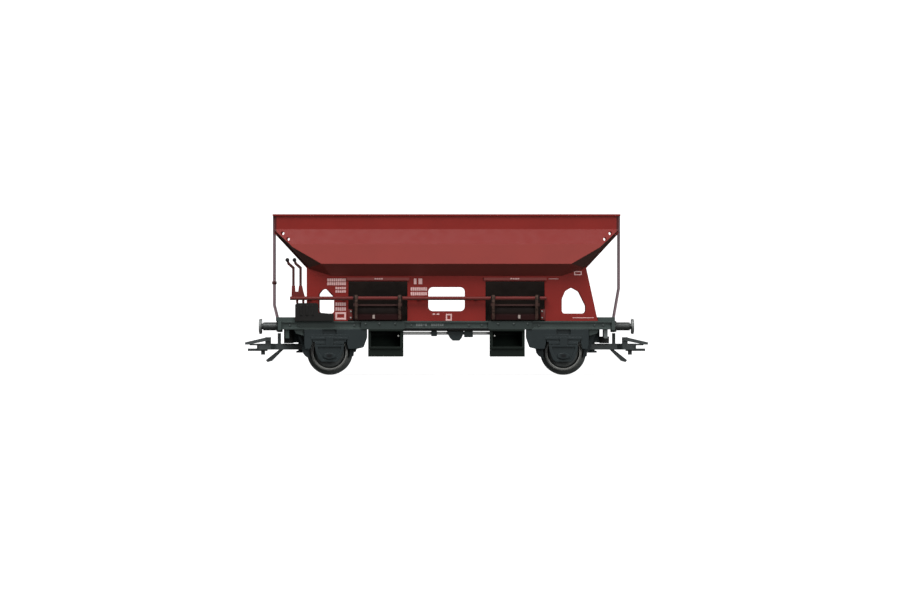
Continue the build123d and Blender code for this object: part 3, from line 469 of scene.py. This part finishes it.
def turned(name, centre, weights, bands, dark):
    """Blackened turned metal with rubbed bands, their distances in mm, and lathe marks."""
    material, tree, shader, coordinates = new_material(name)
    radius = distance_from(tree, coordinates, centre, weights)
    worn = spread(tree, noise(tree, coordinates, TURNED_WEAR, 3), 0.75, 1.0)
    tint = mixed(tree, 0.0, dark, dark)
    for (start, end), colour in bands:
        tint = mixed(tree, times(tree, band(tree, radius, start * MM, end * MM), worn), tint, colour)
    tree.links.new(tint, shader.inputs["Base Color"])
    shader.inputs["Metallic"].default_value = 0.45
    gloss = spread(tree, noise(tree, coordinates, TURNED_GLOSS, 3), 0.34, 0.5)
    tree.links.new(gloss, shader.inputs["Roughness"])
    marks = math_node(tree, "SINE", times(tree, radius, RINGS))
    grain(tree, shader, marks, RING_DEPTH, RING_STRENGTH, worn_and_highlit_edges(tree)[1])
    return material


wheel_finish = {
    side: turned(f"wheel_turned_{side}", (out * AXLE_X * MM, 0, AXLE_Z * MM), (1, 0, 1),
                 [(TYRE_EDGE, TYRE_BRIGHT), (TYRE_FACE, TYRE_RUBBED)], WHEEL_BLACK)
    for side, out in (("left", -1), ("right", 1))
}
buffer_finish = turned("buffer_turned", (0, 0, 0), (1, 0, 0), [(BUFFER_HEAD, HEAD_RUBBED)], BUFFER_BLACK)
print("turned finishes:", [m.name for m in wheel_finish.values()], buffer_finish.name)

# %% [markdown]
# ## Which solid gets which finish
# The solids are named by what they are, so the first letters of a name tell its finish. The first entry
# that fits counts, and so the coupler's pocket stands before the coupler. What no entry fits is frame.

# %% Finishes onto solids
FINISHES = [  # first letters of the nodes' names, finish
    ("hopper", body_red), ("side_plate", body_red), ("end_floor", slope_red), ("middle_saddle", floor_dark),
    ("ridge", floor_dark), ("operating_rod", fittings_red), ("lever_stand", fittings_red),
    ("lever_console", console_black), ("hand_lever", lever_dark), ("corner_posts", post_brown),
    ("gate", gate_brown), ("chute", chute_black), ("brake_rod", rod_grey), ("brake", running_grey),
    ("solebar", sill_grey), ("end_brackets", bracket_grey), ("axle_guard", running_grey),
    ("coupler_pocket", running_grey), ("coupler", coupler_black), ("buffers", buffer_finish),
]
for side, finish in wheel_finish.items():
    FINISHES += [(f"{part}_{side}", finish) for part in ("wheel_near", "wheel_far", "axle")]
for name, node in sorted(nodes.items()):
    finish = next((m for start, m in FINISHES if name.startswith(start)), frame_grey)
    node.data.materials.clear()
    node.data.materials.append(finish)
print("finished solids:", len(nodes))

# %% [markdown]
# ## How a small piece is made here
# Each piece of trim starts as a primitive at its size and place. Most get their real shape in edit mode,
# and each is then given its finish and its body. A piece that repeats is made once and copied, each copy
# with its own mesh, and the copies of one row are joined, because one tool presses them together. Places
# are given in millimetres.

# %% Selecting, placing and finishing
def deselect():
    bpy.ops.object.select_all(action="DESELECT")


def only(piece):
    """Select one piece and make it the active one."""
    deselect()
    piece.select_set(True)
    bpy.context.view_layer.objects.active = piece


def settle(piece):
    """Bring a piece's place and turn into its mesh, so that its object stands at the origin."""
    only(piece)
    bpy.ops.object.transform_apply(location=True, rotation=True, scale=True)


def finish_piece(piece, name, material, body):
    """Name a piece, give it its finish and smooth normals, and let it ride."""
    piece.name = name
    piece.data.name = name
    piece.data.materials.clear()
    piece.data.materials.append(material)
    only(piece)
    bpy.ops.object.shade_smooth_by_angle(angle=math.radians(30))
    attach(piece, body)


print("helpers: deselect, only, settle, finish_piece")

# %% [markdown]
# ## Copies and rows
# A linked duplicate would share its mesh with the model, so that its place couldn't be brought into it.
# Each copy therefore has a mesh of its own.

# %% Copies, rows and joins
def copy_to(model, place, turn=(0, 0, 0)):
    """A copy with its own mesh, at its place in mm and its turn."""
    only(model)
    bpy.ops.object.duplicate(linked=False)
    twin = bpy.context.object
    twin.location = [v * MM for v in place]
    twin.rotation_euler = turn
    settle(twin)
    return twin


def joined(parts, name, material, body):
    """Parts of one colour joined into one finished piece."""
    deselect()
    for part in parts:
        part.select_set(True)
    bpy.context.view_layer.objects.active = parts[0]
    if len(parts) > 1:
        bpy.ops.object.join()
    finish_piece(bpy.context.object, name, material, body)
    return bpy.context.object


def row_of(model, places, name, material, body, turn=(0, 0, 0)):
    """Copies of one model joined into one piece."""
    return joined([copy_to(model, place, turn) for place in places], name, material, body)


FACE_NEAR = (math.radians(90), 0, 0)
FACE_FAR = (math.radians(-90), 0, 0)
FACE_LEFT = (0, math.radians(-90), 0)
FACE_RIGHT = (0, math.radians(90), 0)
SIDES = (("near", -1, FACE_NEAR), ("far", 1, FACE_FAR))
ENDS = (("left", -1, FACE_LEFT), ("right", 1, FACE_RIGHT))
print("helpers: copy_to, joined, row_of")

# %% [markdown]
# ## Picking edges and faces
# By hand one would click on an edge. In code the edges are picked by the places of their two ends and the
# faces by their normal. The picks are set in object mode, because edit mode keeps a mesh of its own.

# %% Picking, bevelling, a cube and a rod to start from
LEVEL = 0.001 * MM  # ends whose heights differ by less lie level
SQUARE_ON = 0.9  # part of a normal above which a face counts as facing that way


def pick_edges(piece, chosen):
    """Edit mode with only those edges selected that the test chooses by their two ends."""
    bpy.ops.object.mode_set(mode="EDIT")
    bpy.ops.mesh.select_all(action="DESELECT")
    bpy.ops.object.mode_set(mode="OBJECT")
    for edge in piece.data.edges:
        a, b = (piece.data.vertices[i].co for i in edge.vertices)
        edge.select = chosen(a, b)
    bpy.ops.object.mode_set(mode="EDIT")


def pick_faces(piece, chosen):
    """Edit mode with only those faces selected that the test chooses by their normal."""
    bpy.ops.object.mode_set(mode="EDIT")
    bpy.ops.mesh.select_all(action="DESELECT")
    bpy.ops.object.mode_set(mode="OBJECT")
    for face in piece.data.polygons:
        face.select = chosen(face.normal)
    bpy.ops.object.mode_set(mode="EDIT")
    bpy.ops.mesh.select_mode(type="FACE")


def bevel_edges(piece, chosen, width, segments=2):
    """The chosen edges bevelled, the width in mm."""
    pick_edges(piece, chosen)
    bpy.ops.mesh.bevel(offset=width * MM, segments=segments, affect="EDGES")
    bpy.ops.object.mode_set(mode="OBJECT")


def upright(a, b):
    """Whether an edge from a to b rises."""
    return abs(a.z - b.z) > LEVEL


def cube(size, place=(0, 0, 0)):
    """A cube to start from, its size and its middle in mm."""
    deselect()
    bpy.ops.mesh.primitive_cube_add(size=1, location=[v * MM for v in place])
    piece = bpy.context.object
    piece.scale = [v * MM for v in size]
    bpy.ops.object.transform_apply(location=True, scale=True)
    return piece


def rod(radius, length, sides, rim):
    """A round piece along z with both rims bevelled, sizes in mm."""
    deselect()
    bpy.ops.mesh.primitive_cylinder_add(vertices=sides, radius=radius * MM, depth=length * MM)
    piece = bpy.context.object
    bevel_edges(piece, lambda a, b: not upright(a, b), rim)
    return piece


print("helpers: pick_edges, pick_faces, bevel_edges, upright, cube, rod")

# %% [markdown]
# ## Bolts
# A real bolt head is a forged hexagon with a chamfered top. Here a six-sided cylinder has its top face
# inset and drawn up a little, which makes the chamfer in one step. One head serves the solebars, the
# aprons, the chutes and the hinge plates, and a smaller one the buffers.

# %% The bolt head
BOLT_RADIUS, BOLT_HEIGHT = 0.30, 0.24
CHAMFER = 0.25  # part of the radius
bolt_metal = moulded("bolt_bright_worn", (0.30, 0.30, 0.28), 0.4, edge=0.6, metallic=0.4)
bolt_dark = moulded("bolt_frame_grey", (0.060, 0.072, 0.070), 0.45)


def bolt_head(radius, height):
    """A hexagon head that stands on z = 0, its top chamfered, sizes in mm."""
    deselect()
    bpy.ops.mesh.primitive_cylinder_add(vertices=6, radius=radius * MM, depth=height * MM,
                                        location=(0, 0, height * MM / 2))
    head = bpy.context.object
    bpy.ops.object.transform_apply(location=True)
    pick_faces(head, lambda normal: normal.z > SQUARE_ON)
    bpy.ops.mesh.inset(thickness=CHAMFER * radius * MM, depth=0)
    bpy.ops.transform.translate(value=(0, 0, CHAMFER * radius * MM))
    bpy.ops.object.mode_set(mode="OBJECT")
    return head


bolt = bolt_head(BOLT_RADIUS, BOLT_HEIGHT)
print("bolt head faces:", len(bolt.data.polygons))

# %% [markdown]
# ## Rows of bolts on the frame
# The solebars, the aprons and the chutes are bolted on along the wagon. An array modifier would set equal
# gaps, and these gaps differ, so each head is a copy at its own place. Each row lies on its own plane, on
# the near side and on the far one.

# %% Bolts on the frame
SILL_Y, SILL_Z = 12.5, 14.65
SILL_BOLTS = [-46.2, -43.6, -27.2, -10.4, -6.6, 6.6, 10.4, 27.2, 43.6, 46.2]
APRON_Y, APRON_Z = 13.45, 15.1
APRON_BOLTS = [-23.9, -19.8, -15.2, 15.2, 19.8, 23.9]
CHUTE_Y, CHUTE_Z = 13.0, 11.5
CHUTE_BOLTS = [-14.2, 14.2]
BOLT_ROWS = [  # name, along, out, up, finish
    ("sill", SILL_BOLTS, SILL_Y, SILL_Z, bolt_dark), ("apron", APRON_BOLTS, APRON_Y, APRON_Z, bolt_dark),
    ("chute", CHUTE_BOLTS, CHUTE_Y, CHUTE_Z, bolt_metal),
]
for face, out, turn in SIDES:
    for name, along, across, up, metal in BOLT_ROWS:
        places = [(x, out * across, up) for x in along]
        row_of(bolt, places, f"{name}_bolts_{face}", metal, WAGON, turn)
print("bolts on the frame:", 2 * sum(len(row[1]) for row in BOLT_ROWS))

# %% [markdown]
# ## Bolts round the buffers
# Each buffer's base plate is held by four small bolts, which stand on a circle round the buffer. Their
# heads are half the size of the others, and the same helper makes one of them to be copied.

# %% Bolts on the headstocks
BUFFER_Y, BUFFER_Z = 10.05, 14.3
BASE_X = 50.15
RING = 1.4 * math.sqrt(0.5)  # four bolts on a circle whose radius is 1.4 mm
SMALL_RADIUS, SMALL_HEIGHT = 0.15, 0.12
small_bolt = bolt_head(SMALL_RADIUS, SMALL_HEIGHT)
for end, out, turn in ENDS:
    places = [(out * BASE_X, side * BUFFER_Y + across, BUFFER_Z + up)
              for side in (-1, 1) for across in (-RING, RING) for up in (-RING, RING)]
    row_of(small_bolt, places, f"buffer_bolts_{end}", bolt_dark, WAGON, turn)
print("bolts on each headstock:", len(places))

# %% [markdown]
# ## Hinge plates
# Beside each gate a narrow plate is screwed to the door pillar, with two bright bolt heads. A cube does for
# it, with the four edges of its outer face bevelled, as a stamped plate's are.

# %% Hinge plates and their bolts
HINGE, HINGE_BEVEL = (1.5, 0.35, 3.2), 0.15
HINGE_X, HINGE_Z = 28.45, 17.8
HINGE_BOLT_X, HINGE_BOLTS_Z = 28.2, (16.85, 18.75)
PILLAR_Y = 13.0
hinge = cube(HINGE)
bevel_edges(hinge, lambda a, b: a.y < 0 and b.y < 0, HINGE_BEVEL)
for face, out, turn in SIDES:
    flip = (0, 0, math.radians(90 + 90 * out))
    middle_y, face_y = out * (PILLAR_Y + HINGE[1] / 2), out * (PILLAR_Y + HINGE[1])
    places = [(side * HINGE_X, middle_y, HINGE_Z) for side in (-1, 1)]
    row_of(hinge, places, f"hinge_plates_{face}", fittings_red, WAGON, flip)
    places = [(side * HINGE_BOLT_X, face_y, z) for side in (-1, 1) for z in HINGE_BOLTS_Z]
    row_of(bolt, places, f"hinge_bolts_{face}", bolt_metal, WAGON, turn)
print("hinge plates:", 2 * len(SIDES), "faces of one:", len(hinge.data.polygons))

# %% [markdown]
# ## Post collars
# On the platform's posts a round collar takes a lamp bracket. It could be spun from a profile, but a short
# cylinder whose two rims are bevelled has the same shape in fewer steps.

# %% Collars on the posts
COLLAR_X, COLLAR_Y, COLLAR_Z = 50.95, 11.85, 27.2
COLLAR_RADIUS, COLLAR_HEIGHT, COLLAR_SIDES, COLLAR_RIM = 0.48, 0.9, 20, 0.14
collar = rod(COLLAR_RADIUS, COLLAR_HEIGHT, COLLAR_SIDES, COLLAR_RIM)
places = [(-COLLAR_X, side * COLLAR_Y, COLLAR_Z) for side in (-1, 1)]
row_of(collar, places, "post_collars", lever_dark, WAGON)
print("collars:", len(places))

# %% [markdown]
# ## Coupler guides
# Over each coupler's shank sits a moulded box, which keeps the shank from rising. It is a cube at its size
# and place, its upright edges bevelled as a mould leaves them, and drawn up hollow from below, because a
# thick block would sink in as it cools.

# %% The guides
GUIDE_X = (45.3, 48.1)
GUIDE_WIDTH = 6.4
GUIDE_FOOT = 9.3
GUIDE_TOPS = {"left": 13.4, "right": 11.3}
GUIDE_WALL, GUIDE_BEVEL = 0.5, 0.35


def guide_box(out, top):
    """A box over the shank, hollow from below, at the end that out points to."""
    height = top - GUIDE_FOOT
    middle = (out * sum(GUIDE_X) / 2, 0, GUIDE_FOOT + height / 2)
    box = cube((GUIDE_X[1] - GUIDE_X[0], GUIDE_WIDTH, height), middle)
    bevel_edges(box, upright, GUIDE_BEVEL)
    pick_faces(box, lambda normal: normal.z < -SQUARE_ON)
    bpy.ops.mesh.inset(thickness=GUIDE_WALL * MM, depth=0)
    bpy.ops.mesh.extrude_region_move(TRANSFORM_OT_translate={"value": (0, 0, (height - GUIDE_WALL) * MM)})
    bpy.ops.object.mode_set(mode="OBJECT")
    return box


for end, out, _ in ENDS:
    box = guide_box(out, GUIDE_TOPS[end])
    finish_piece(box, f"coupler_guide_{end}", console_black, WAGON)
    print("coupler guide", end, "faces:", len(box.data.polygons))

# %% [markdown]
# ## Brake pipes
# The air pipe of the brake runs below each solebar. A thin cylinder does for it, since the pipe is straight
# and round, with both rims bevelled.

# %% The pipes
PIPE_LENGTH, PIPE_RADIUS, PIPE_SIDES, PIPE_RIM = 25.5, 0.24, 16, 0.08
PIPE_Y, PIPE_Z = 12.2, 13.4 - PIPE_RADIUS
pipe = rod(PIPE_RADIUS, PIPE_LENGTH, PIPE_SIDES, PIPE_RIM)
places = [(0, side * PIPE_Y, PIPE_Z) for side in (-1, 1)]
row_of(pipe, places, "brake_pipes", console_black, WAGON, FACE_RIGHT)
print("brake pipes:", len(places))

# %% [markdown]
# ## Coupler hooks
# Above its lower prong the coupler's head has a short flat hook plate, which the bail of the next wagon
# drops over. It is stamped, so a thin cube does for it, with the two upright edges of its tip bevelled
# round. It rides on the coupler's own body and swings with it.

# %% The hook plates
HOOK, HOOK_ROUND, HOOK_STEPS = (3.2, 2.4, 0.5), 0.7, 4
HOOK_X, HOOK_Z = 56.7, 8.9
hook = cube(HOOK)
bevel_edges(hook, lambda a, b: a.x > 0 and b.x > 0 and upright(a, b), HOOK_ROUND, HOOK_STEPS)
for end, out, _ in ENDS:
    turn = (0, 0, math.radians(90 - 90 * out))
    row_of(hook, [(out * HOOK_X, 0, HOOK_Z)], f"coupler_hook_{end}", coupler_black, f"coupler_{end}_body",
           turn)
print("hook plates:", len(ENDS))

# %% [markdown]
# ## Tables of plain tiles
# A freight wagon carries painted tables on its side plates. A table is rows of plain tiles: a strip of
# cells, every cell inset by itself, the joints between them taken out and the tiles drawn forward by the
# thickness of the paint. Zones in the plate's finish could show it too, but tiles that stand proud of the
# plate catch the light on their edges.

# %% Tables
plate_cream = moulded("plate_cream_paint", (0.88, 0.54, 0.52), 0.5, edge=0.1)
PLATE_Y = 13.0
PAINT, JOINT = 0.05, 0.05


def turn_outwards():
    """All faces of the piece in edit mode pointing outwards, and back to object mode."""
    bpy.ops.mesh.select_all(action="SELECT")
    bpy.ops.mesh.normals_make_consistent(inside=False)
    bpy.ops.object.mode_set(mode="OBJECT")


def tile_row(x0, x1, z0, z1, count, y=PLATE_Y):
    """A row of plain tiles on the near side, cut from one strip of cells."""
    deselect()
    bpy.ops.mesh.primitive_grid_add(x_subdivisions=count, y_subdivisions=1, size=1, rotation=FACE_NEAR,
                                    location=((x0 + x1) / 2 * MM, -y * MM, (z0 + z1) / 2 * MM))
    row = bpy.context.object
    row.scale = ((x1 - x0) * MM, (z1 - z0) * MM, 1)
    settle(row)
    bpy.ops.object.mode_set(mode="EDIT")
    bpy.ops.mesh.select_mode(type="FACE")
    bpy.ops.mesh.select_all(action="SELECT")
    bpy.ops.mesh.inset(thickness=JOINT * MM, depth=0, use_individual=True)
    bpy.ops.mesh.select_all(action="INVERT")
    bpy.ops.mesh.delete(type="FACE")
    bpy.ops.mesh.select_all(action="SELECT")
    bpy.ops.mesh.extrude_region_move(TRANSFORM_OT_translate={"value": (0, -PAINT * MM, 0)})
    turn_outwards()
    return row


TABLES = {  # x0, x1, z0, z1, tiles of each row
    "table_left": [(-35.2, -29.6, 27.5, 28.5, 9), (-35.2, -29.6, 26.4, 27.4, 9),
                   (-32.8, -29.6, 25.2, 26.0, 5), (-32.8, -29.6, 24.2, 25.0, 5),
                   (-32.8, -29.6, 20.3, 21.4, 5), (-32.8, -29.6, 18.9, 20.0, 5)],
    "table_middle": [(-9.7, -8.8, 26.7, 28.5, 1), (-8.3, -7.1, 26.7, 28.5, 1),
                     (-10.6, -5.7, 24.8, 25.9, 8), (-10.6, -5.7, 23.4, 24.5, 8)],
}
for name, rows in TABLES.items():
    tiles = joined([tile_row(*row) for row in rows], name, plate_cream, WAGON)
    print(name, "faces:", len(tiles.data.polygons))

# %% [markdown]
# ## Empty frames
# Beside the tables stand small empty frames. Four thin bars could make one, but their corners would have
# to meet. Here one flat sheet has its face and back inset and bridged, which takes the middle out, so that
# only the painted rule stands proud.

# %% Frames
def flat_sheet(x0, x1, z0, z1):
    """A thin sheet on the near side plate, all four sides given in mm."""
    return cube((x1 - x0, PAINT, z1 - z0), ((x0 + x1) / 2, -(PLATE_Y + PAINT / 2), (z0 + z1) / 2))


def ruled_frame(x0, x1, z0, z1, rule):
    """An empty frame: the sheet's front and back inset, the middle bridged open."""
    sheet = flat_sheet(x0, x1, z0, z1)
    pick_faces(sheet, lambda normal: abs(normal.y) > SQUARE_ON)
    bpy.ops.mesh.inset(thickness=rule * MM, depth=0, use_individual=True)
    bpy.ops.mesh.bridge_edge_loops()
    turn_outwards()
    return sheet


FRAMES = [  # name, x0, x1, z0, z1, rule
    ("card_frame", -32.8, -29.6, 16.3, 18.5, 0.55),
    ("stencil_frame_right", 37.6, 39.9, 29.4, 30.6, 0.32),
    ("square_frame", -0.2, 1.6, 16.0, 18.0, 0.42),
]
for name, *sides, rule in FRAMES:
    finish_piece(ruled_frame(*sides, rule), name, plate_cream, WAGON)
print("empty frames:", len(FRAMES))

# %% [markdown]
# ## Rules and marks
# Short painted rules are plain sheets. The small marks on the solebar's web, and the pale tiles on the door
# lips that are a painted highlight on each lip, are single rows of tiles, each row on the plane of its own
# plate. The helpers of the tables and frames make them, with other sizes.

# %% Painted rules and marks
RULES = [(37.2, 43.4, 16.75, 16.95), (30.1, 33.1, 28.25, 28.42), (-4.1, -3.3, 17.7, 18.15),
         (-2.9, -2.1, 17.7, 18.15)]  # x0, x1, z0, z1
LIP_Y, WEB_Y = 13.7, 12.5
LIP_HIGHLIGHT_TILES = [(-21.3, -18.7, 28.1, 28.6, 4, LIP_Y), (18.8, 21.5, 28.1, 28.6, 4, LIP_Y)]
WEB_MARKS = [(-9.1, -5.7, 14.3, 15.2, 5, WEB_Y), (-4.6, -0.8, 14.3, 15.2, 6, WEB_Y)]
mark_grey = moulded("solebar_mark_grey", (0.17, 0.19, 0.185), 0.5, edge=0.1)
joined([flat_sheet(*rule) for rule in RULES], "painted_rules", plate_cream, WAGON)
# Pale tiles on the door lips: a painted highlight where the lip catches the light.
joined([tile_row(*mark) for mark in LIP_HIGHLIGHT_TILES], "lip_highlight_tiles", plate_cream, WAGON)
joined([tile_row(*mark) for mark in WEB_MARKS], "solebar_marks", mark_grey, WAGON)
print("rules and marks:", len(RULES) + len(LIP_HIGHLIGHT_TILES) + len(WEB_MARKS))

# %% [markdown]
# ## The studio's floor
# A pale round sheet lit from within, as on a light table, curves up all round the model, so there is a
# background with no edge from every side. It is wider than the camera's circle. The rim of a flat disc is
# drawn up and outward in small steps, which makes the curve. The sheet sends no light onto the model, so
# its undersides stay dark as they do in a catalogue picture.

# %% Floor
FLOOR_RADIUS = 3.7
CURVE_RADIUS = 0.8
CURVE_STEPS = 8
WALL_HEIGHT = 3.0
FLOOR_SIDES = 96
deselect()
bpy.ops.mesh.primitive_circle_add(vertices=FLOOR_SIDES, radius=FLOOR_RADIUS, fill_type="TRIFAN")
floor = bpy.context.object
floor.name = "studio_floor"
bpy.ops.object.mode_set(mode="EDIT")
bpy.ops.mesh.select_mode(type="EDGE")
bpy.ops.object.mode_set(mode="OBJECT")
pick_edges(floor, lambda a, b: min(a.length, b.length) > FLOOR_RADIUS / 2)
reach, rise = FLOOR_RADIUS, 0.0
for step in range(1, CURVE_STEPS + 1):
    turn = math.radians(90) * step / CURVE_STEPS
    wider = FLOOR_RADIUS + CURVE_RADIUS * math.sin(turn)
    higher = CURVE_RADIUS * (1 - math.cos(turn))
    bpy.ops.mesh.extrude_region_move(TRANSFORM_OT_translate={"value": (0, 0, higher - rise)})
    bpy.ops.transform.resize(value=(wider / reach, wider / reach, 1), center_override=(0, 0, 0))
    reach, rise = wider, higher
bpy.ops.mesh.extrude_region_move(TRANSFORM_OT_translate={"value": (0, 0, WALL_HEIGHT)})
bpy.ops.object.mode_set(mode="OBJECT")
bpy.ops.object.shade_smooth()
print("floor vertices:", len(floor.data.vertices))

# %% [markdown]
# ## The light table's glow
# The sheet glows by itself, a little less in the middle than further out, so the light on it looks even
# through the lens. It needs no lamp of its own that could throw a shadow of the wheels.

# %% Glow of the sheet
SHEET_GREY = (0.20, 0.20, 0.20, 1)
GLOW_NEAR, GLOW_FAR = 0.3, 1.5
GLOW_MIDDLE, GLOW_RIM = 0.87, 1.13
paper, tree, shader, coordinates = new_material("studio_light_table")
for socket, value in (("Base Color", SHEET_GREY), ("Roughness", 0.9), ("Specular IOR Level", 0.0),
                      ("Emission Color", (1, 1, 1, 1))):
    shader.inputs[socket].default_value = value
glow = tree.nodes.new("ShaderNodeMapRange")
for socket, value in (("From Min", GLOW_NEAR), ("From Max", GLOW_FAR), ("To Min", GLOW_MIDDLE),
                      ("To Max", GLOW_RIM)):
    glow.inputs[socket].default_value = value
tree.links.new(distance_from(tree, coordinates, (0, 0, 0), (1, 1, 0)), glow.inputs["Value"])
tree.links.new(glow.outputs["Result"], shader.inputs["Emission Strength"])
floor.data.materials.append(paper)
floor.visible_diffuse = False
floor.visible_glossy = False
print("floor material:", paper.name)

# %% [markdown]
# ## The camera
# A long lens far away keeps the side of the wagon nearly flat, as in the photograph. The camera stands
# level with the middle of the wagon. Its lens follows from the width of the picture and from the length
# that one pixel covers on the wagon.

# %% Camera
PHOTO_WIDTH = 900
MM_PER_PIXEL = 0.2961
VIEW_DISTANCE = 3.0
VIEW_X, VIEW_Z = 1.04, 22.1
SENSOR = 36.0
CLIP = (0.05, 30)
camera_data = bpy.data.cameras.new("studio_camera")
camera = bpy.data.objects.new("studio_camera", camera_data)
bpy.context.scene.collection.objects.link(camera)
camera_data.sensor_width = SENSOR
camera_data.lens = SENSOR * VIEW_DISTANCE / (PHOTO_WIDTH * MM_PER_PIXEL * MM)
camera_data.clip_start, camera_data.clip_end = CLIP
camera.location = (VIEW_X * MM, -VIEW_DISTANCE, VIEW_Z * MM)
camera.rotation_euler = (math.radians(90), 0, 0)
bpy.context.scene.camera = camera
print("lens in mm:", round(camera_data.lens))

# %% [markdown]
# ## Light
# Five large soft lamps leave no hard shadow on the satin paint. The key stands above the left shoulder of
# the camera, one lamp fills the front, and three more keep the back and both ends readable.

# %% Lights
LIGHT_SIZE = 1.0
AIM = Vector((0, 0, 0.02))
LIGHTS = [  # name, place in metres, watts
    ("key_above", (-0.5, -0.9, 1.5), 22), ("fill_front", (0.9, -2.2, 0.5), 16),
    ("fill_back", (-1.3, 2.4, 1.0), 22), ("fill_left", (-2.3, 0.3, 0.9), 11),
    ("fill_right", (2.3, 0.3, 0.9), 11),
]
for name, place, watts in LIGHTS:
    data = bpy.data.lights.new(name, "AREA")
    data.shape = "SQUARE"
    data.size = LIGHT_SIZE
    data.energy = watts
    light = bpy.data.objects.new(name, data)
    bpy.context.scene.collection.objects.link(light)
    light.location = place
    light.rotation_euler = (AIM - Vector(place)).to_track_quat("-Z", "Y").to_euler()
print("lights:", [name for name, _, _ in LIGHTS])

# %% [markdown]
# ## The world
# Light from all round fills the last shadows. An even world would brighten the undersides too, so it runs
# from dark at the horizon and below to pale overhead.

# %% World
DARK_BELOW, PALE_ABOVE, PALE_FROM = (0.10, 0.10, 0.10), (0.85, 0.85, 0.85), 0.9
world = bpy.data.worlds.new("studio_world")
bpy.context.scene.world = world
world.use_nodes = True
sky = world.node_tree
direction = sky.nodes.new("ShaderNodeTexCoord").outputs["Generated"]
shade = ramp(sky, axes(sky, direction)[2], [(0.0, DARK_BELOW), (PALE_FROM, PALE_ABOVE)])
sky.links.new(shade, sky.nodes["Background"].inputs["Color"])
sky.nodes["Background"].inputs["Strength"].default_value = 1.0
bpy.context.scene.view_settings.view_transform = "Standard"
print("world:", world.name)

# %% [markdown]
# ## The end
# The models that only served for copies are taken out.

# %% The end
for spare in (bolt, small_bolt, hinge, collar, pipe, hook):
    bpy.data.objects.remove(spare, do_unlink=True)
